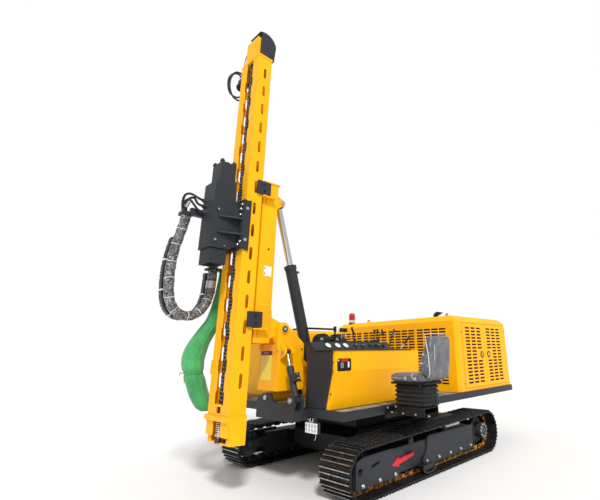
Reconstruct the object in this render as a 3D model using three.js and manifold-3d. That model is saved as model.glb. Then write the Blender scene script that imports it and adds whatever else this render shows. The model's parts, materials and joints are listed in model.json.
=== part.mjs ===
// Crawler pile driver rig: undercarriage, deck with engine house and console, side-tilting box,
// folding guide beam, sliding mast and the hydraulic hammer that runs on it.
// Millimetres, +Z up. The machine faces -Y, its left side is +X. Z = 0 is the ground.
import * as THREE from 'three';
import { mergeVertices } from 'three/addons/utils/BufferGeometryUtils.js';
import Module from 'manifold-3d';

const wasm = await Module();
wasm.setup();

// ---- driving dimensions -------------------------------------------------------------------
const GAP = 0.3;                // seat clearance between touching pieces
const DEG = Math.PI / 180;

const TRACK = {
  outer: 1150, width: 420, linkWidth: 130, shoes: 48, grouser: 16, shoe: 14, link: 62,
  rearY: 1215, rearR: 258, frontY: -1238, frontR: 236,
};
const FRAME = { outer: 1060, skirt: 1010, inner: 850 };
const ROLLER_R = 60;
const CARRIER_R = 26;
const SPROCKET_TEETH = 21;
const DECK = { left: 1006, right: -1460, front: -1410, rear: 2450, top: 768, edge: 85, skin: 12 };
const HOUSE = { left: 986, right: -1440, front: 782, rear: 2430, top: 1810, wall: 40, bevel: 80 };
const DOOR = { thick: 30, bottom: 36, top: 98, front: 195, rear: 115, gap: 6, inset: 6 };
const CONSOLE = { inner: 345, outer: 860, foot: 785, front: -1400, rear: 50, post: 15, crease: 1130,
  top: 1420, edgeTop: 1335 };
const PIVOT = { z: 862, front: -1620, plate: 30, hubR: 58, pinR: 24, rear: -1190 };
const BOX = { half: 190, front: -1610, rear: -1270, bottom: 930, top: 1415, wall: 16 };
const FOLD = { y: -1560, z: 1578, bossR: 62, pinR: 28, cheek: 36 };
const GUIDE = { half: 180, front: -1935, rear: -1735, bottom: 1425, top: 3270 };
const MAST = { half: 206, front: -2160, rear: -1969, bottom: 560, top: 4960, wall: 12, mouth: 150 };
const SLOT = { count: 15, pitch: 262, height: 118, width: 36, first: 1000 };
const HAMMER = { half: 130, front: -2490, rear: -2255, bottom: 2385, top: 3170 };
const TILT = { baseX: 446, baseZ: 854, earX: 252, earZ: 1330, y: -1545, boreR: 34, rodR: 17 };
const LEVERS = [[-868, 0], [-803, 0], [-640, -50], [-275, 6], [-222, 8], [-205, 80]];
const RAISE = { baseY: -980, baseZ: 1020, rodY: -1610, rodZ: 3110, boreR: 68, rodR: 40, barrel: 1400 };
const SEAT = { inner: 1050, outer: 1560, front: -830, rear: -430, bottom: 1012, back: 1480 };

// ---- materials ----------------------------------------------------------------------------
const paint = (color, roughness, metalness) =>
  new THREE.MeshStandardMaterial({ color, roughness, metalness });
const YELLOW = paint(0xf9b208, 0.35, 0);
const GREY = paint(0x3c3f44, 0.45, 0.1);
const BLACK = paint(0x1b1b1d, 0.6, 0);
const STEEL = paint(0x6b6b6d, 0.5, 0.8);
const CHROME = paint(0xd8d8da, 0.15, 1);
const VINYL = paint(0x4a4b50, 0.55, 0);
const GREEN = paint(0x2f8f4a, 0.8, 0);
const RED = paint(0xd01020, 0.3, 0);

// ---- solid helpers ------------------------------------------------------------------------
function solid(geometry) {
  const bare = geometry.clone();
  bare.deleteAttribute('normal');
  bare.deleteAttribute('uv');
  const merged = mergeVertices(bare, 1e-3);
  return new wasm.Manifold(new wasm.Mesh({
    numProp: 3,
    vertProperties: Float32Array.from(merged.attributes.position.array),
    triVerts: Uint32Array.from(merged.index.array),
  }));
}

function geometryOf(manifold) {
  const mesh = manifold.getMesh();
  const geometry = new THREE.BufferGeometry();
  geometry.setAttribute('position', new THREE.BufferAttribute(Float32Array.from(mesh.vertProperties), 3));
  geometry.setIndex(new THREE.BufferAttribute(Uint32Array.from(mesh.triVerts), 1));
  geometry.computeVertexNormals();
  return geometry;
}

function box(x0, x1, y0, y1, z0, z1) {
  const geometry = new THREE.BoxGeometry(x1 - x0, y1 - y0, z1 - z0);
  geometry.translate((x0 + x1) / 2, (y0 + y1) / 2, (z0 + z1) / 2);
  return solid(geometry);
}

// A round bar from point a to point b; cone when endRadius differs.
function bar(a, b, radius, sides = 24, endRadius = radius) {
  const from = new THREE.Vector3(...a);
  const way = new THREE.Vector3(...b).sub(from);
  const geometry = new THREE.CylinderGeometry(endRadius, radius, way.length(), sides);
  geometry.translate(0, way.length() / 2, 0);
  geometry.applyQuaternion(new THREE.Quaternion().setFromUnitVectors(
    new THREE.Vector3(0, 1, 0), way.clone().normalize()));
  geometry.translate(from.x, from.y, from.z);
  return solid(geometry);
}

// A round cut whose flats stay outside the given radius.
const hole = (a, b, radius, sides = 16) => bar(a, b, radius / Math.cos(Math.PI / sides), sides);

function outline(points) {
  return new THREE.Shape(points.map(([u, v]) => new THREE.Vector2(u, v)));
}

// An outline in (y, z), extruded from x0 to x1.
function prismX(points, x0, x1, holes = []) {
  const shape = outline(points);
  shape.holes = holes.map(outline);
  const geometry = new THREE.ExtrudeGeometry(shape, { depth: x1 - x0, bevelEnabled: false });
  geometry.applyMatrix4(new THREE.Matrix4().set(0, 0, 1, x0, 1, 0, 0, 0, 0, 1, 0, 0, 0, 0, 0, 1));
  return solid(geometry);
}

// An outline in (x, z), extruded from y0 to y1.
function prismY(points, y0, y1) {
  const geometry = new THREE.ExtrudeGeometry(outline(points), { depth: y1 - y0, bevelEnabled: false });
  geometry.applyMatrix4(new THREE.Matrix4().set(1, 0, 0, 0, 0, 0, -1, y1, 0, 1, 0, 0, 0, 0, 0, 1));
  return solid(geometry);
}

// An outline in (x, y), extruded from z0 to z1.
function prismZ(points, z0, z1) {
  const geometry = new THREE.ExtrudeGeometry(outline(points), { depth: z1 - z0, bevelEnabled: false });
  geometry.translate(0, 0, z0);
  return solid(geometry);
}

// A closed solid through equal rings of points, its ends capped flat.
function loft(rings) {
  const sides = rings[0].length;
  const positions = rings.flat().flat();
  const index = [];
  for (let r = 0; r + 1 < rings.length; r++) {
    for (let i = 0; i < sides; i++) {
      const a = r * sides + i;
      const b = r * sides + (i + 1) % sides;
      index.push(a, b, b + sides, a, b + sides, a + sides);
    }
  }
  const last = (rings.length - 1) * sides;
  for (let i = 1; i + 1 < sides; i++) index.push(0, i + 1, i, last, last + i, last + i + 1);
  const geometry = new THREE.BufferGeometry();
  geometry.setAttribute('position', new THREE.Float32BufferAttribute(positions, 3));
  geometry.setIndex(index);
  return solid(geometry);
}

const union = (...solids) => solids.reduce((whole, next) => whole.add(next));
const less = (whole, ...cuts) => cuts.reduce((left, cut) => left.subtract(cut), whole);
const mirror = (manifold) => manifold.mirror([1, 0, 0]);

const group = new THREE.Group();
function add(name, manifold, material) {
  const mesh = new THREE.Mesh(geometryOf(manifold), material);
  mesh.name = name;
  group.add(mesh);
}

function ring(cy, cz, radius, from, to, steps) {
  return Array.from({ length: steps + 1 }, (_, i) => {
    const angle = (from + (to - from) * i / steps) * DEG;
    return [cy + radius * Math.cos(angle), cz + radius * Math.sin(angle)];
  });
}

// ---- undercarriage ------------------------------------------------------------------------
const ARC_STEPS = 14;           // straight pieces in each end arc of a track loop
const ARC_FLAT = Math.cos(Math.PI / 2 / ARC_STEPS);
const TRACK_X = TRACK.outer - TRACK.width / 2;
const LINK_INSET = TRACK.grouser + TRACK.shoe + TRACK.link;
const LEAN = 2 * Math.asin((TRACK.rearR - TRACK.frontR) / (TRACK.rearY - TRACK.frontY));

// The closed path of the track at an inset from its grouser tips, as two runs and two arcs.
function trackPath(inset) {
  const rear = TRACK.rearR - inset;
  const front = TRACK.frontR - inset;
  const top = Math.PI / 2 + LEAN;
  const on = (y, z, r, a) => [y + r * Math.cos(a), z + r * Math.sin(a)];
  const run = (a, b) => {
    const length = Math.hypot(b[0] - a[0], b[1] - a[1]);
    const way = [(b[0] - a[0]) / length, (b[1] - a[1]) / length];
    return { length, at: (s) => [a[0] + way[0] * s, a[1] + way[1] * s, way[1], -way[0]] };
  };
  const arc = (y, z, r, a, b) => ({ length: r * (b - a), at: (s) => {
    const t = a + s / r;
    return [...on(y, z, r, t), Math.cos(t), Math.sin(t)];
  } });
  return [
    run(on(TRACK.frontY, TRACK.frontR, front, 1.5 * Math.PI), on(TRACK.rearY, TRACK.rearR, rear, -Math.PI / 2)),
    arc(TRACK.rearY, TRACK.rearR, rear, -Math.PI / 2, top),
    run(on(TRACK.rearY, TRACK.rearR, rear, top), on(TRACK.frontY, TRACK.frontR, front, top)),
    arc(TRACK.frontY, TRACK.frontR, front, top, 1.5 * Math.PI),
  ];
}

function pointOn(path, distance) {
  let left = distance;
  for (const part of path) {
    if (left <= part.length) return part.at(left);
    left -= part.length;
  }
  return path[0].at(0);
}

// A plain loop at an inset: corners only where the arcs need them.
function loopOutline(inset) {
  const points = [];
  for (const part of trackPath(inset)) {
    const steps = part === undefined ? 0 : (part.length > 1500 ? 1 : ARC_STEPS);
    for (let i = 0; i < steps; i++) points.push(part.at(part.length * i / steps).slice(0, 2));
  }
  return points;
}

// The shoes as one toothed loop: each shoe's leading edge stands up as a grouser.
function shoeOutline() {
  const path = trackPath(TRACK.grouser);
  const length = path.reduce((sum, part) => sum + part.length, 0);
  const profile = [[0.04, 0], [0.10, TRACK.grouser], [0.24, TRACK.grouser], [0.30, 0]];
  const points = [];
  for (let i = 0; i < TRACK.shoes; i++) {
    for (const [along, height] of profile) {
      const [y, z, ny, nz] = pointOn(path, length * (i + along) / TRACK.shoes);
      points.push([y + ny * height, z + nz * height]);
    }
  }
  return points;
}

function track() {
  const inside = TRACK.grouser + TRACK.shoe;
  const shoes = prismX(shoeOutline(), TRACK_X - TRACK.width / 2, TRACK_X + TRACK.width / 2,
    [loopOutline(inside).reverse()]);
  const links = prismX(loopOutline(inside - 6), TRACK_X - TRACK.linkWidth / 2,
    TRACK_X + TRACK.linkWidth / 2, [loopOutline(LINK_INSET).reverse()]);
  return union(shoes, links);
}

function idler() {
  const radius = (TRACK.frontR - LINK_INSET) * ARC_FLAT - GAP;
  const at = (x) => [x, TRACK.frontY, TRACK.frontR];
  const wheel = bar(at(TRACK_X - 52), at(TRACK_X + 52), radius, 2 * ARC_STEPS);
  return union(wheel, bar(at(TRACK_X - 80), at(TRACK_X + 80), 34, 16));
}

function sprocket() {
  const tip = (TRACK.rearR - LINK_INSET) * ARC_FLAT - GAP;
  const teeth = [];
  for (let i = 0; i < SPROCKET_TEETH; i++) {
    const start = 360 / SPROCKET_TEETH * i;
    teeth.push(...ring(TRACK.rearY, TRACK.rearR, tip, start - 4, start + 4, 1));
    teeth.push(...ring(TRACK.rearY, TRACK.rearR, tip - 16, start + 6.5, start + 10.5, 1));
  }
  const at = (x) => [x, TRACK.rearY, TRACK.rearR];
  return union(prismX(teeth, TRACK_X - 22, TRACK_X + 22), bar(at(FRAME.inner - 110), at(TRACK_X), 112, 20),
    bar(at(TRACK_X), at(FRAME.outer - 20), 96, 16), bar(at(FRAME.outer - 21), at(FRAME.outer + 6), 62, 16));
}

function trackFrame() {
  const beam = prismX([[-1010, 118], [-990, 96], [980, 96], [1000, 118], [1000, 330], [980, 350],
    [-990, 340], [-1010, 320]], FRAME.inner, FRAME.skirt);
  const slot = [[-1085, 240], [-965, 262], [-960, 288], [-1080, 266]];
  const guard = prismX([[-1298, 110], [-1280, 92], [-640, 92], [-760, 360], [-1190, 358], [-1290, 330]],
    FRAME.skirt - 1, FRAME.outer, [slot]);
  const middle = prismX([[-700, 110], [-180, 110], [-120, 345], [-790, 345]], FRAME.skirt - 1, FRAME.skirt + 20);
  const cover = prismX([[-230, 150], [-190, 92], [930, 92], [960, 130], [965, 345], [940, 368], [-75, 382],
    [-110, 368], [-130, 240]], FRAME.skirt - 1, FRAME.outer - 10);
  const ears = [-388, 298].map((y) => {
    const z = 2 * TRACK.rearR - Math.tan(LEAN) * (TRACK.rearY - y) - LINK_INSET - CARRIER_R - 2;
    return union(prismX([[y - 50, 320], [y + 50, 320], [y + 30, z + 40], [y - 30, z + 40]],
      FRAME.skirt - 4, FRAME.skirt + 14), bar([TRACK_X - 40, y, z], [FRAME.skirt, y, z], CARRIER_R, 10));
  });
  const rollers = Array.from({ length: 7 }, (_, i) => bar([TRACK_X - 58, -870 + i * 290, ROLLER_R + LINK_INSET + GAP],
    [TRACK_X + 58, -870 + i * 290, ROLLER_R + LINK_INSET + GAP], ROLLER_R, 12));
  const step = prismX([[-250, 60], [-90, 60], [-60, 110], [-280, 110]], FRAME.outer - 42, FRAME.outer + 40);
  const forks = [FRAME.inner, FRAME.skirt - 30].map((x) => prismX([[-1280, 200], [-990, 180], [-990, 300],
    [-1280, 275]], x, x + 22));
  const idlerRoom = bar([TRACK_X - 60, TRACK.frontY, TRACK.frontR], [TRACK_X + 60, TRACK.frontY, TRACK.frontR],
    TRACK.frontR - LINK_INSET + 8, 28);
  const axleRoom = bar([700, TRACK.frontY, TRACK.frontR], [1200, TRACK.frontY, TRACK.frontR], 34 + GAP, 16);
  const driveRoom = bar([700, TRACK.rearY, TRACK.rearR], [1200, TRACK.rearY, TRACK.rearR],
    TRACK.rearR - LINK_INSET + 8, 28);
  return less(union(beam, guard, middle, cover, ...ears, ...rollers, step, ...forks), idlerRoom, axleRoom, driveRoom);
}

for (const [side, flip] of [['left', (m) => m], ['right', mirror]]) {
  add(`track_${side}`, flip(track()), BLACK);
  add(`idler_${side}`, flip(idler()), STEEL);
  add(`sprocket_${side}`, flip(sprocket()), STEEL);
  add(`track_frame_${side}`, flip(trackFrame()), GREY);
}

// The carbody: a box between the track frames, cross beams into them and a pedestal under the deck.
function carbody() {
  const hull = prismX([[-820, 230], [-700, 170], [700, 170], [820, 230], [820, 400], [700, 470], [-700, 470],
    [-820, 400]], -520, 520);
  const beams = [-560, 560].map((y) => box(-(FRAME.inner - 80), FRAME.inner - 80, y - 95, y + 95, 190, 330));
  const pads = [-560, 560].flatMap((y) => [-1, 1].map((side) => box(Math.min(side * 765, side * (FRAME.inner - GAP)),
    Math.max(side * 765, side * (FRAME.inner - GAP)), y - 125, y + 125, 180, 340)));
  const stand = box(-420, 420, -640, 900, 469, DECK.top - DECK.edge - GAP);
  return union(hull, ...beams, ...pads, stand);
}
add('carbody', carbody(), BLACK);

// ---- deck ---------------------------------------------------------------------------------
function deck() {
  const plate = box(DECK.right, DECK.left, DECK.front, DECK.rear, DECK.top - DECK.edge, DECK.top);
  const hollow = box(DECK.right + DECK.skin, DECK.left - DECK.skin, DECK.front + DECK.skin, DECK.rear - DECK.skin,
    DECK.top - DECK.edge - 1, DECK.top - DECK.skin);
  const sills = [-430, 430].map((x) => box(x - 50, x + 50, DECK.front + 5, DECK.rear - 5, DECK.top - DECK.edge,
    DECK.top - DECK.skin + 1));
  return union(less(plate, hollow), ...sills);
}
add('deck_frame', deck(), GREY);

// Front bracket: the plate that carries the side-tilt pin and the tilt cylinder's foot, and its cheeks.
function frontBracket() {
  const back = PIVOT.front + PIVOT.plate;
  const face = [[-172, 655], [480, 650], [492, 700], [492, 860], [470, 905], [425, 905], [395, 850], [330, 812],
    [200, 808], [130, 830], [90, 888], [60, 905], [-60, 905], [-90, 888], [-135, 868], [-172, 840]];
  const plate = prismY(face, PIVOT.front, back);
  const cheek = (x, w) => box(x, x + w, back - 1, DECK.front - GAP, 655, DECK.top - 12);
  const floor = box(-172, 480, back - 1, DECK.front - GAP, 655, 680);
  const eyeBack = prismY([[380, 670], [492, 670], [492, 860], [470, 905], [425, 905], [395, 860]],
    TILT.y + 42, TILT.y + 64);
  const rearPin = bar([0, back - 1, PIVOT.z], [0, PIVOT.rear - 6, PIVOT.z], PIVOT.pinR - GAP, 16);
  const footPin = bar([TILT.baseX, back - 1, TILT.baseZ], [TILT.baseX, TILT.y + 43, TILT.baseZ], 20, 16);
  return union(plate, cheek(-172, 25), cheek(455, 25), floor, eyeBack, rearPin, footPin);
}
add('front_bracket', frontBracket(), GREY);

function rearBearing() {
  const block = prismY([[-120, DECK.top + GAP], [120, DECK.top + GAP], [75, 920], [45, 935], [-45, 935], [-75, 920]],
    PIVOT.rear - 30, PIVOT.rear);
  return less(block, hole([0, PIVOT.rear - 60, PIVOT.z], [0, PIVOT.rear + 60, PIVOT.z], PIVOT.pinR + 0.1, 16));
}
add('tilt_bearing', rearBearing(), GREY);

// ---- engine house -------------------------------------------------------------------------
const HOUSE_Z = DECK.top + GAP;
function houseShell(grow) {
  const { left, right, front, rear, top, bevel } = HOUSE;
  const b = bevel;
  const low = top - b;
  const base = prismZ([[right + grow, front + grow], [left - b - grow * 0.4, front + grow],
    [left - grow, front + b + grow * 0.4], [left - grow, rear - grow], [right + grow, rear - grow]],
  grow ? HOUSE_Z - 5 : HOUSE_Z, top - grow);
  const alongX = prismX([[front - 5, 0], [rear + 5, 0], [rear + 5, low - grow * 0.4], [rear - b - grow * 0.6 + 0, top + 5],
    [front + b + grow * 0.6, top + 5], [front - 5, low - grow * 0.4]], right - 50, left + 50);
  const alongY = prismY([[right - 5, 0], [left + 5, 0], [left + 5, low - grow * 0.4], [left - b - grow * 0.6, top + 5],
    [right + b + grow * 0.6, top + 5], [right - 5, low - grow * 0.4]], front - 50, rear + 50);
  return base.intersect(alongX).intersect(alongY);
}

const DOOR_Z0 = DECK.top + DOOR.bottom;
const DOOR_Z1 = HOUSE.top - DOOR.top;
const DOOR_Y0 = HOUSE.front + DOOR.front;
const DOOR_Y1 = HOUSE.rear - DOOR.rear;
const DOOR_SEAM = (DOOR_Y0 + DOOR_Y1) / 2;
function house() {
  const shell = less(houseShell(0), houseShell(HOUSE.wall));
  const doorway = box(HOUSE.right - 60, HOUSE.left + 60, DOOR_Y0, DOOR_Y1, DOOR_Z0, DOOR_Z1);
  const rib = [HOUSE.left - 66, HOUSE.right + DOOR.thick + DOOR.gap].map((x) => box(x, x + 30, DOOR_SEAM - 30, DOOR_SEAM + 30,
    DOOR_Z0 - 20, DOOR_Z1 + 20));
  const eyes = [-900, 728].map((x) => less(
    bar([x - 8, 1030, HOUSE.top + 22], [x + 8, 1030, HOUSE.top + 22], 34, 16),
    bar([x - 20, 1030, HOUSE.top + 24], [x + 20, 1030, HOUSE.top + 24], 18, 12)));
  return less(union(less(shell, doorway), ...rib, ...eyes), exhaust(GAP),
    box(-2000, 2000, -3000, 3000, -100, HOUSE_Z));
}

// Exhaust stack with a slanted mouth, rising from the engine through the roof.
function exhaust(grow) {
  return bar([530, 1020, HOUSE.top - 500], [530, 1020, HOUSE.top + 50], 36 + grow, 20);
}
add('engine_house', house(), YELLOW);

// A side door, flush with the house side, on pivot pins that stand in the gaps above and below it.
function door(y0, y1, hingeY) {
  const [z0, z1] = [DOOR_Z0 + DOOR.gap, DOOR_Z1 - DOOR.gap];
  const at = (z) => [HOUSE.left - DOOR.inset, hingeY, z];
  const pin = bar(at(z0 - DOOR.gap + GAP), at(z1 + DOOR.gap - GAP), 4, 8);
  return union(box(HOUSE.left - DOOR.thick, HOUSE.left, y0, y1, z0, z1), pin);
}
const DOORS = {
  front: [DOOR_Y0 + DOOR.gap, DOOR_SEAM - DOOR.gap / 2, DOOR_Y0 + DOOR.gap + DOOR.inset],
  rear: [DOOR_SEAM + DOOR.gap / 2, DOOR_Y1 - DOOR.gap, DOOR_Y1 - DOOR.gap - DOOR.inset],
};
for (const [end, spans] of Object.entries(DOORS)) {
  add(`house_door_left_${end}`, door(...spans), YELLOW);
  add(`house_door_right_${end}`, mirror(door(...spans)).translate([HOUSE.left + HOUSE.right, 0, 0]), YELLOW);
}

add('engine_block', union(box(-380, 330, 1150, 2150, HOUSE_Z, 1180), box(-300, 250, 1300, 2000, 1179, 1480)), STEEL);
function exhaustPipe() {
  const stack = exhaust(0);
  const elbow = bar([530, 1020, HOUSE.top - 470], [200, 1300 - GAP - 40, HOUSE.top - 420], 34, 20);
  const tip = bar([530, 1020, HOUSE.top + 44], [650, 1020, HOUSE.top + 98], 35, 20);
  const mouth = box(-200, 200, -200, 200, 0, 200).rotate([0, 12, 0]).translate([610, 1020, HOUSE.top + 82]);
  return less(union(stack, elbow, less(tip, mouth)), box(-300, 250, 1300 - GAP, 2000, 1100, 1480));
}
add('exhaust_pipe', exhaustPipe(), BLACK);

// Warning beacon on the roof.
const BEACON = { x: -1190, y: 890 };
add('beacon', union(bar([BEACON.x, BEACON.y, HOUSE.top + GAP], [BEACON.x, BEACON.y, HOUSE.top + 66], 58, 20),
  bar([BEACON.x, BEACON.y, HOUSE.top + 65], [BEACON.x, BEACON.y, HOUSE.top + 195], 56, 20, 44)), RED);

// ---- operator's side ----------------------------------------------------------------------
function consoleCabinet() {
  const { inner, outer, foot, front, rear, crease, edgeTop, top } = CONSOLE;
  const section = (x) => [[x, DECK.top + GAP], [foot, DECK.top + GAP], [outer, crease], [outer, edgeTop],
    [560, edgeTop], [Math.max(x + 1, 462), x > 462 ? top - 15 : top], [x, x > 462 ? top - 15 : top]];
  const low = box(inner - 10, 560, PANEL.end - 1, rear + 10, edgeTop, top + 10);
  return less(union(prismY(section(478), front + CONSOLE.post + GAP, front + 130), prismY(section(inner), front + 129, rear)), low);
}
// Bent sheet that closes the front of the console, its left edge folded back round the corner.
function consolePost() {
  const { front, post, crease, edgeTop, top } = CONSOLE;
  const fold = [[362, front + 100], [362, front + 55], [385, front + 22], [425, front + 4], [470, front], [900, front],
    [900, front + post], [472, front + post], [430, front + 19], [395, front + 36], [377, front + 60], [377, front + 100]];
  return prismZ(fold, DECK.top + GAP, top).intersect(prismY([[300, 0], [735, 0], [735, DECK.top + 20], [823, crease],
    [823, edgeTop], [560, edgeTop], [462, top], [300, top]], front - 10, front + 200));
}
const PANEL = { x0: 462, x1: 560, thick: 13, end: -100 };
function consolePanel() {
  const { inner, outer, front, edgeTop, top } = CONSOLE;
  const t = PANEL.thick;
  return prismY([[inner, top + GAP], [PANEL.x0, top + GAP], [PANEL.x1, edgeTop + GAP], [outer + 12, edgeTop + GAP],
    [outer + 12, edgeTop + t], [PANEL.x1 + 5, edgeTop + t], [PANEL.x0 + 5, top + t], [inner, top + t]], front - 10, PANEL.end);
}
// Levers on the flat strip behind the panel: y of each foot, and how far its tip leans to the rear.
function controlLevers() {
  const z = CONSOLE.top + PANEL.thick + GAP;
  const bank = box(375, 425, -930, PANEL.end - 20, z, z + 14);
  const sticks = LEVERS.map(([y, lean]) => union(bar([400, y, z + 10], [400, y + lean, z + 130], 6, 6),
    bar([400, y + lean * 0.95, z + 124], [400, y + lean * 1.15, z + 172], 13, 8)));
  return union(bank, ...sticks);
}
add('console_cabinet', consoleCabinet(), YELLOW);
add('console_post', consolePost(), GREY);
add('console_panel', consolePanel(), GREY);
add('control_levers', controlLevers(), BLACK);

// Tank and tool box on the right side of the deck.
add('side_tank', prismY([[DECK.right + 30, DECK.top + GAP], [-470, DECK.top + GAP], [-470, 1580], [-510, 1620],
  [DECK.right + 70, 1620], [DECK.right + 30, 1580]], -1000, -50), YELLOW);
add('tank_caps', union(bar([-800, -820, 1620 + GAP], [-800, -820, 1660], 62, 24),
  bar([-800, -640, 1620 + GAP], [-800, -640, 1660], 62, 24), box(-840, -760, -820, -640, 1620 + GAP, 1630)), BLACK);

// Handrail beside the levers.
function handrail() {
  const z = CONSOLE.top + PANEL.thick;
  const post = (y) => bar([358, y, z + GAP], [358, y, 1585], 11, 12);
  return union(post(-1370), post(-940), bar([358, -1381, 1585], [358, -929, 1585], 11, 12));
}
add('handrail', handrail(), BLACK);

// Seat: bracket bolted under the deck edge, boxed foot, bellows, cushion and backrest.
function seatBracket() {
  const side = DECK.left + GAP;
  const floor = DECK.top - DECK.edge + 8;
  const plate = box(side, 1630, -800, -480, floor, floor + 14);
  const fix = box(side, side + 14, -800, -480, DECK.top - DECK.edge - 40, DECK.top - 8);
  const tube = box(1175, 1510, -790, -540, floor + 13, floor + 86);
  const bore = box(1165, 1520, -775, -555, floor + 27, floor + 72);
  return union(plate, fix, less(tube, bore));
}
const SEAT_FOOT = DECK.top - DECK.edge + 8 + 86 + GAP;
add('seat_bracket', seatBracket(), BLACK);

function bellows() {
  const folds = 5;
  const step = (SEAT.bottom - GAP - 20 - SEAT_FOOT) / folds;
  const rings = Array.from({ length: folds }, (_, i) => {
    const z = SEAT_FOOT + i * step;
    return [box(1125, 1525, -795, -505, z, z + step * 0.55), box(1142, 1508, -778, -522, z + step * 0.5, z + step + 1)];
  }).flat();
  return union(...rings, box(1100, 1540, -800, -490, SEAT.bottom - GAP - 20, SEAT.bottom - GAP));
}
add('seat_suspension', bellows(), BLACK);

function cushion() {
  return prismY([[1060, SEAT.bottom], [SEAT.outer, SEAT.bottom], [SEAT.outer, 1085], [1300, 1078], [1075, 1088],
    [SEAT.inner, 1060]], SEAT.front, SEAT.rear);
}
add('seat_cushion', cushion(), VINYL);
add('seat_backrest', prismY([[1452, 1092], [SEAT.outer + GAP, 1092], [SEAT.outer + GAP, SEAT.bottom + 6], [1602, 1022],
  [1630, 1075], [1668, 1440], [1652, SEAT.back], [1592, SEAT.back + 4], [1572, 1462]], SEAT.front + 10, SEAT.rear - 10),
VINYL);

add('work_light', union(box(500, 692, DECK.front - 50, DECK.front - 15, 547, 651),
  box(570, 620, DECK.front - 16, DECK.front - GAP, 620, 700)), GREY);

// ---- side-tilting box ---------------------------------------------------------------------
function tiltBox() {
  const { half, front, rear, bottom, top, wall } = BOX;
  const shell = less(box(-half, half, front, rear, bottom, top), box(-half + wall, half - wall, front + wall,
    rear - wall, bottom - 1, top - wall));
  const hub = bar([0, PIVOT.front + PIVOT.plate + 3, PIVOT.z], [0, PIVOT.rear - 33, PIVOT.z], PIVOT.hubR, 16);
  const web = box(-40, 40, PIVOT.front + PIVOT.plate + 3, rear, PIVOT.z, bottom + wall);
  const cheekShape = [[FOLD.y - 70, top - 60], [rear, top - 60], [rear, top + 10], [FOLD.y + 75, FOLD.z + 20],
    ...ring(FOLD.y, FOLD.z, FOLD.bossR + 14, 15, 180, 8), [FOLD.y - 76, top + 40]];
  const cheeks = [-half, half - FOLD.cheek].map((x) => prismX(cheekShape, x, x + FOLD.cheek));
  const bosses = [[-half - 18, -half + 1], [half - 1, half + 18]].map(([a, b]) =>
    bar([a, FOLD.y, FOLD.z], [b, FOLD.y, FOLD.z], FOLD.bossR - 14, 16));
  const pin = bar([-half, FOLD.y, FOLD.z], [half, FOLD.y, FOLD.z], FOLD.pinR, 20);
  const ear = (y) => prismY([[half - 1, 1250], [half - 1, 1410], [220, 1400], ...ring(TILT.earX, TILT.earZ, 44, 80, -70, 6)]
    .map(([x, z]) => [x, z]), y, y + 22);
  const earPin = bar([TILT.earX, TILT.y - 40, TILT.earZ], [TILT.earX, TILT.y + 40, TILT.earZ], 18, 16);
  const arm = [-112, 82].map((x) => prismX([[rear - 5, 940], [RAISE.baseY + 60, 950], [RAISE.baseY + 75, 1010],
    [RAISE.baseY + 40, 1085], [RAISE.baseY - 40, 1090], [rear - 5, 1300]], x, x + 30));
  const armPin = bar([-97, RAISE.baseY, RAISE.baseZ], [97, RAISE.baseY, RAISE.baseZ], 30 - GAP, 20);
  const tree = union(shell, hub, web, ...cheeks, ...bosses, pin, ear(TILT.y - 58), ear(TILT.y + 36), earPin,
    ...arm, armPin);
  return less(tree, hole([0, PIVOT.front, PIVOT.z], [0, PIVOT.rear, PIVOT.z], PIVOT.pinR + 0.1, 16));
}
add('tilt_box', tiltBox(), YELLOW);

// A cylinder barrel: an eye on its base pin, a tube and a gland; the rod runs in its bore.
function alongPins(base, head, across) {
  const from = new THREE.Vector3(...base);
  const way = new THREE.Vector3(...head).sub(from);
  const length = way.length();
  const unit = way.normalize();
  const at = (s) => from.clone().addScaledVector(unit, s).toArray();
  const side = new THREE.Vector3(...across);
  const shift = (p, s) => new THREE.Vector3(...p).addScaledVector(side, s).toArray();
  return { length, at, shift };
}
function barrel(base, head, across, size) {
  const { at, shift } = alongPins(base, head, across);
  const eye = bar(shift(base, -size.eyeHalf), shift(base, size.eyeHalf), size.eyeR, 16);
  const tube = bar(at(size.eyeR * 0.5), at(size.length), size.boreR, 16);
  const gland = bar(at(size.length - 46), at(size.length), size.boreR + 9, 16);
  const bore = bar(at(size.eyeR + 30), at(size.length + 10), size.rodR + 0.6, 16);
  const pin = hole(shift(base, -size.eyeHalf - 5), shift(base, size.eyeHalf + 5), size.pinR + 0.2, 20);
  return less(union(eye, tube, gland), bore, pin);
}
function rod(base, head, across, size) {
  const { length, at, shift } = alongPins(base, head, across);
  const eye = bar(shift(head, -size.eyeHalf), shift(head, size.eyeHalf), size.headR, 16);
  const shaft = bar(at(length - size.rodLength), at(length - size.headR * 0.5), size.rodR, 16);
  const whole = union(eye, shaft);
  if (!size.slack) return whole;
  return less(whole, hole(shift(head, -size.eyeHalf - 5), shift(head, size.eyeHalf + 5), size.headPinR + size.slack, 12));
}
const tiltSize = { eyeHalf: 30, eyeR: 42, boreR: TILT.boreR, rodR: TILT.rodR, length: 350, pinR: 20, headR: 34,
  headPinR: 18, slack: 6, rodLength: 330 };
const tiltBase = [TILT.baseX, TILT.y, TILT.baseZ];
const tiltHead = [TILT.earX, TILT.y, TILT.earZ];
add('tilt_cylinder_barrel', barrel(tiltBase, tiltHead, [0, 1, 0], tiltSize), GREY);
add('tilt_cylinder_rod', rod(tiltBase, tiltHead, [0, 1, 0], tiltSize), CHROME);

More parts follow.
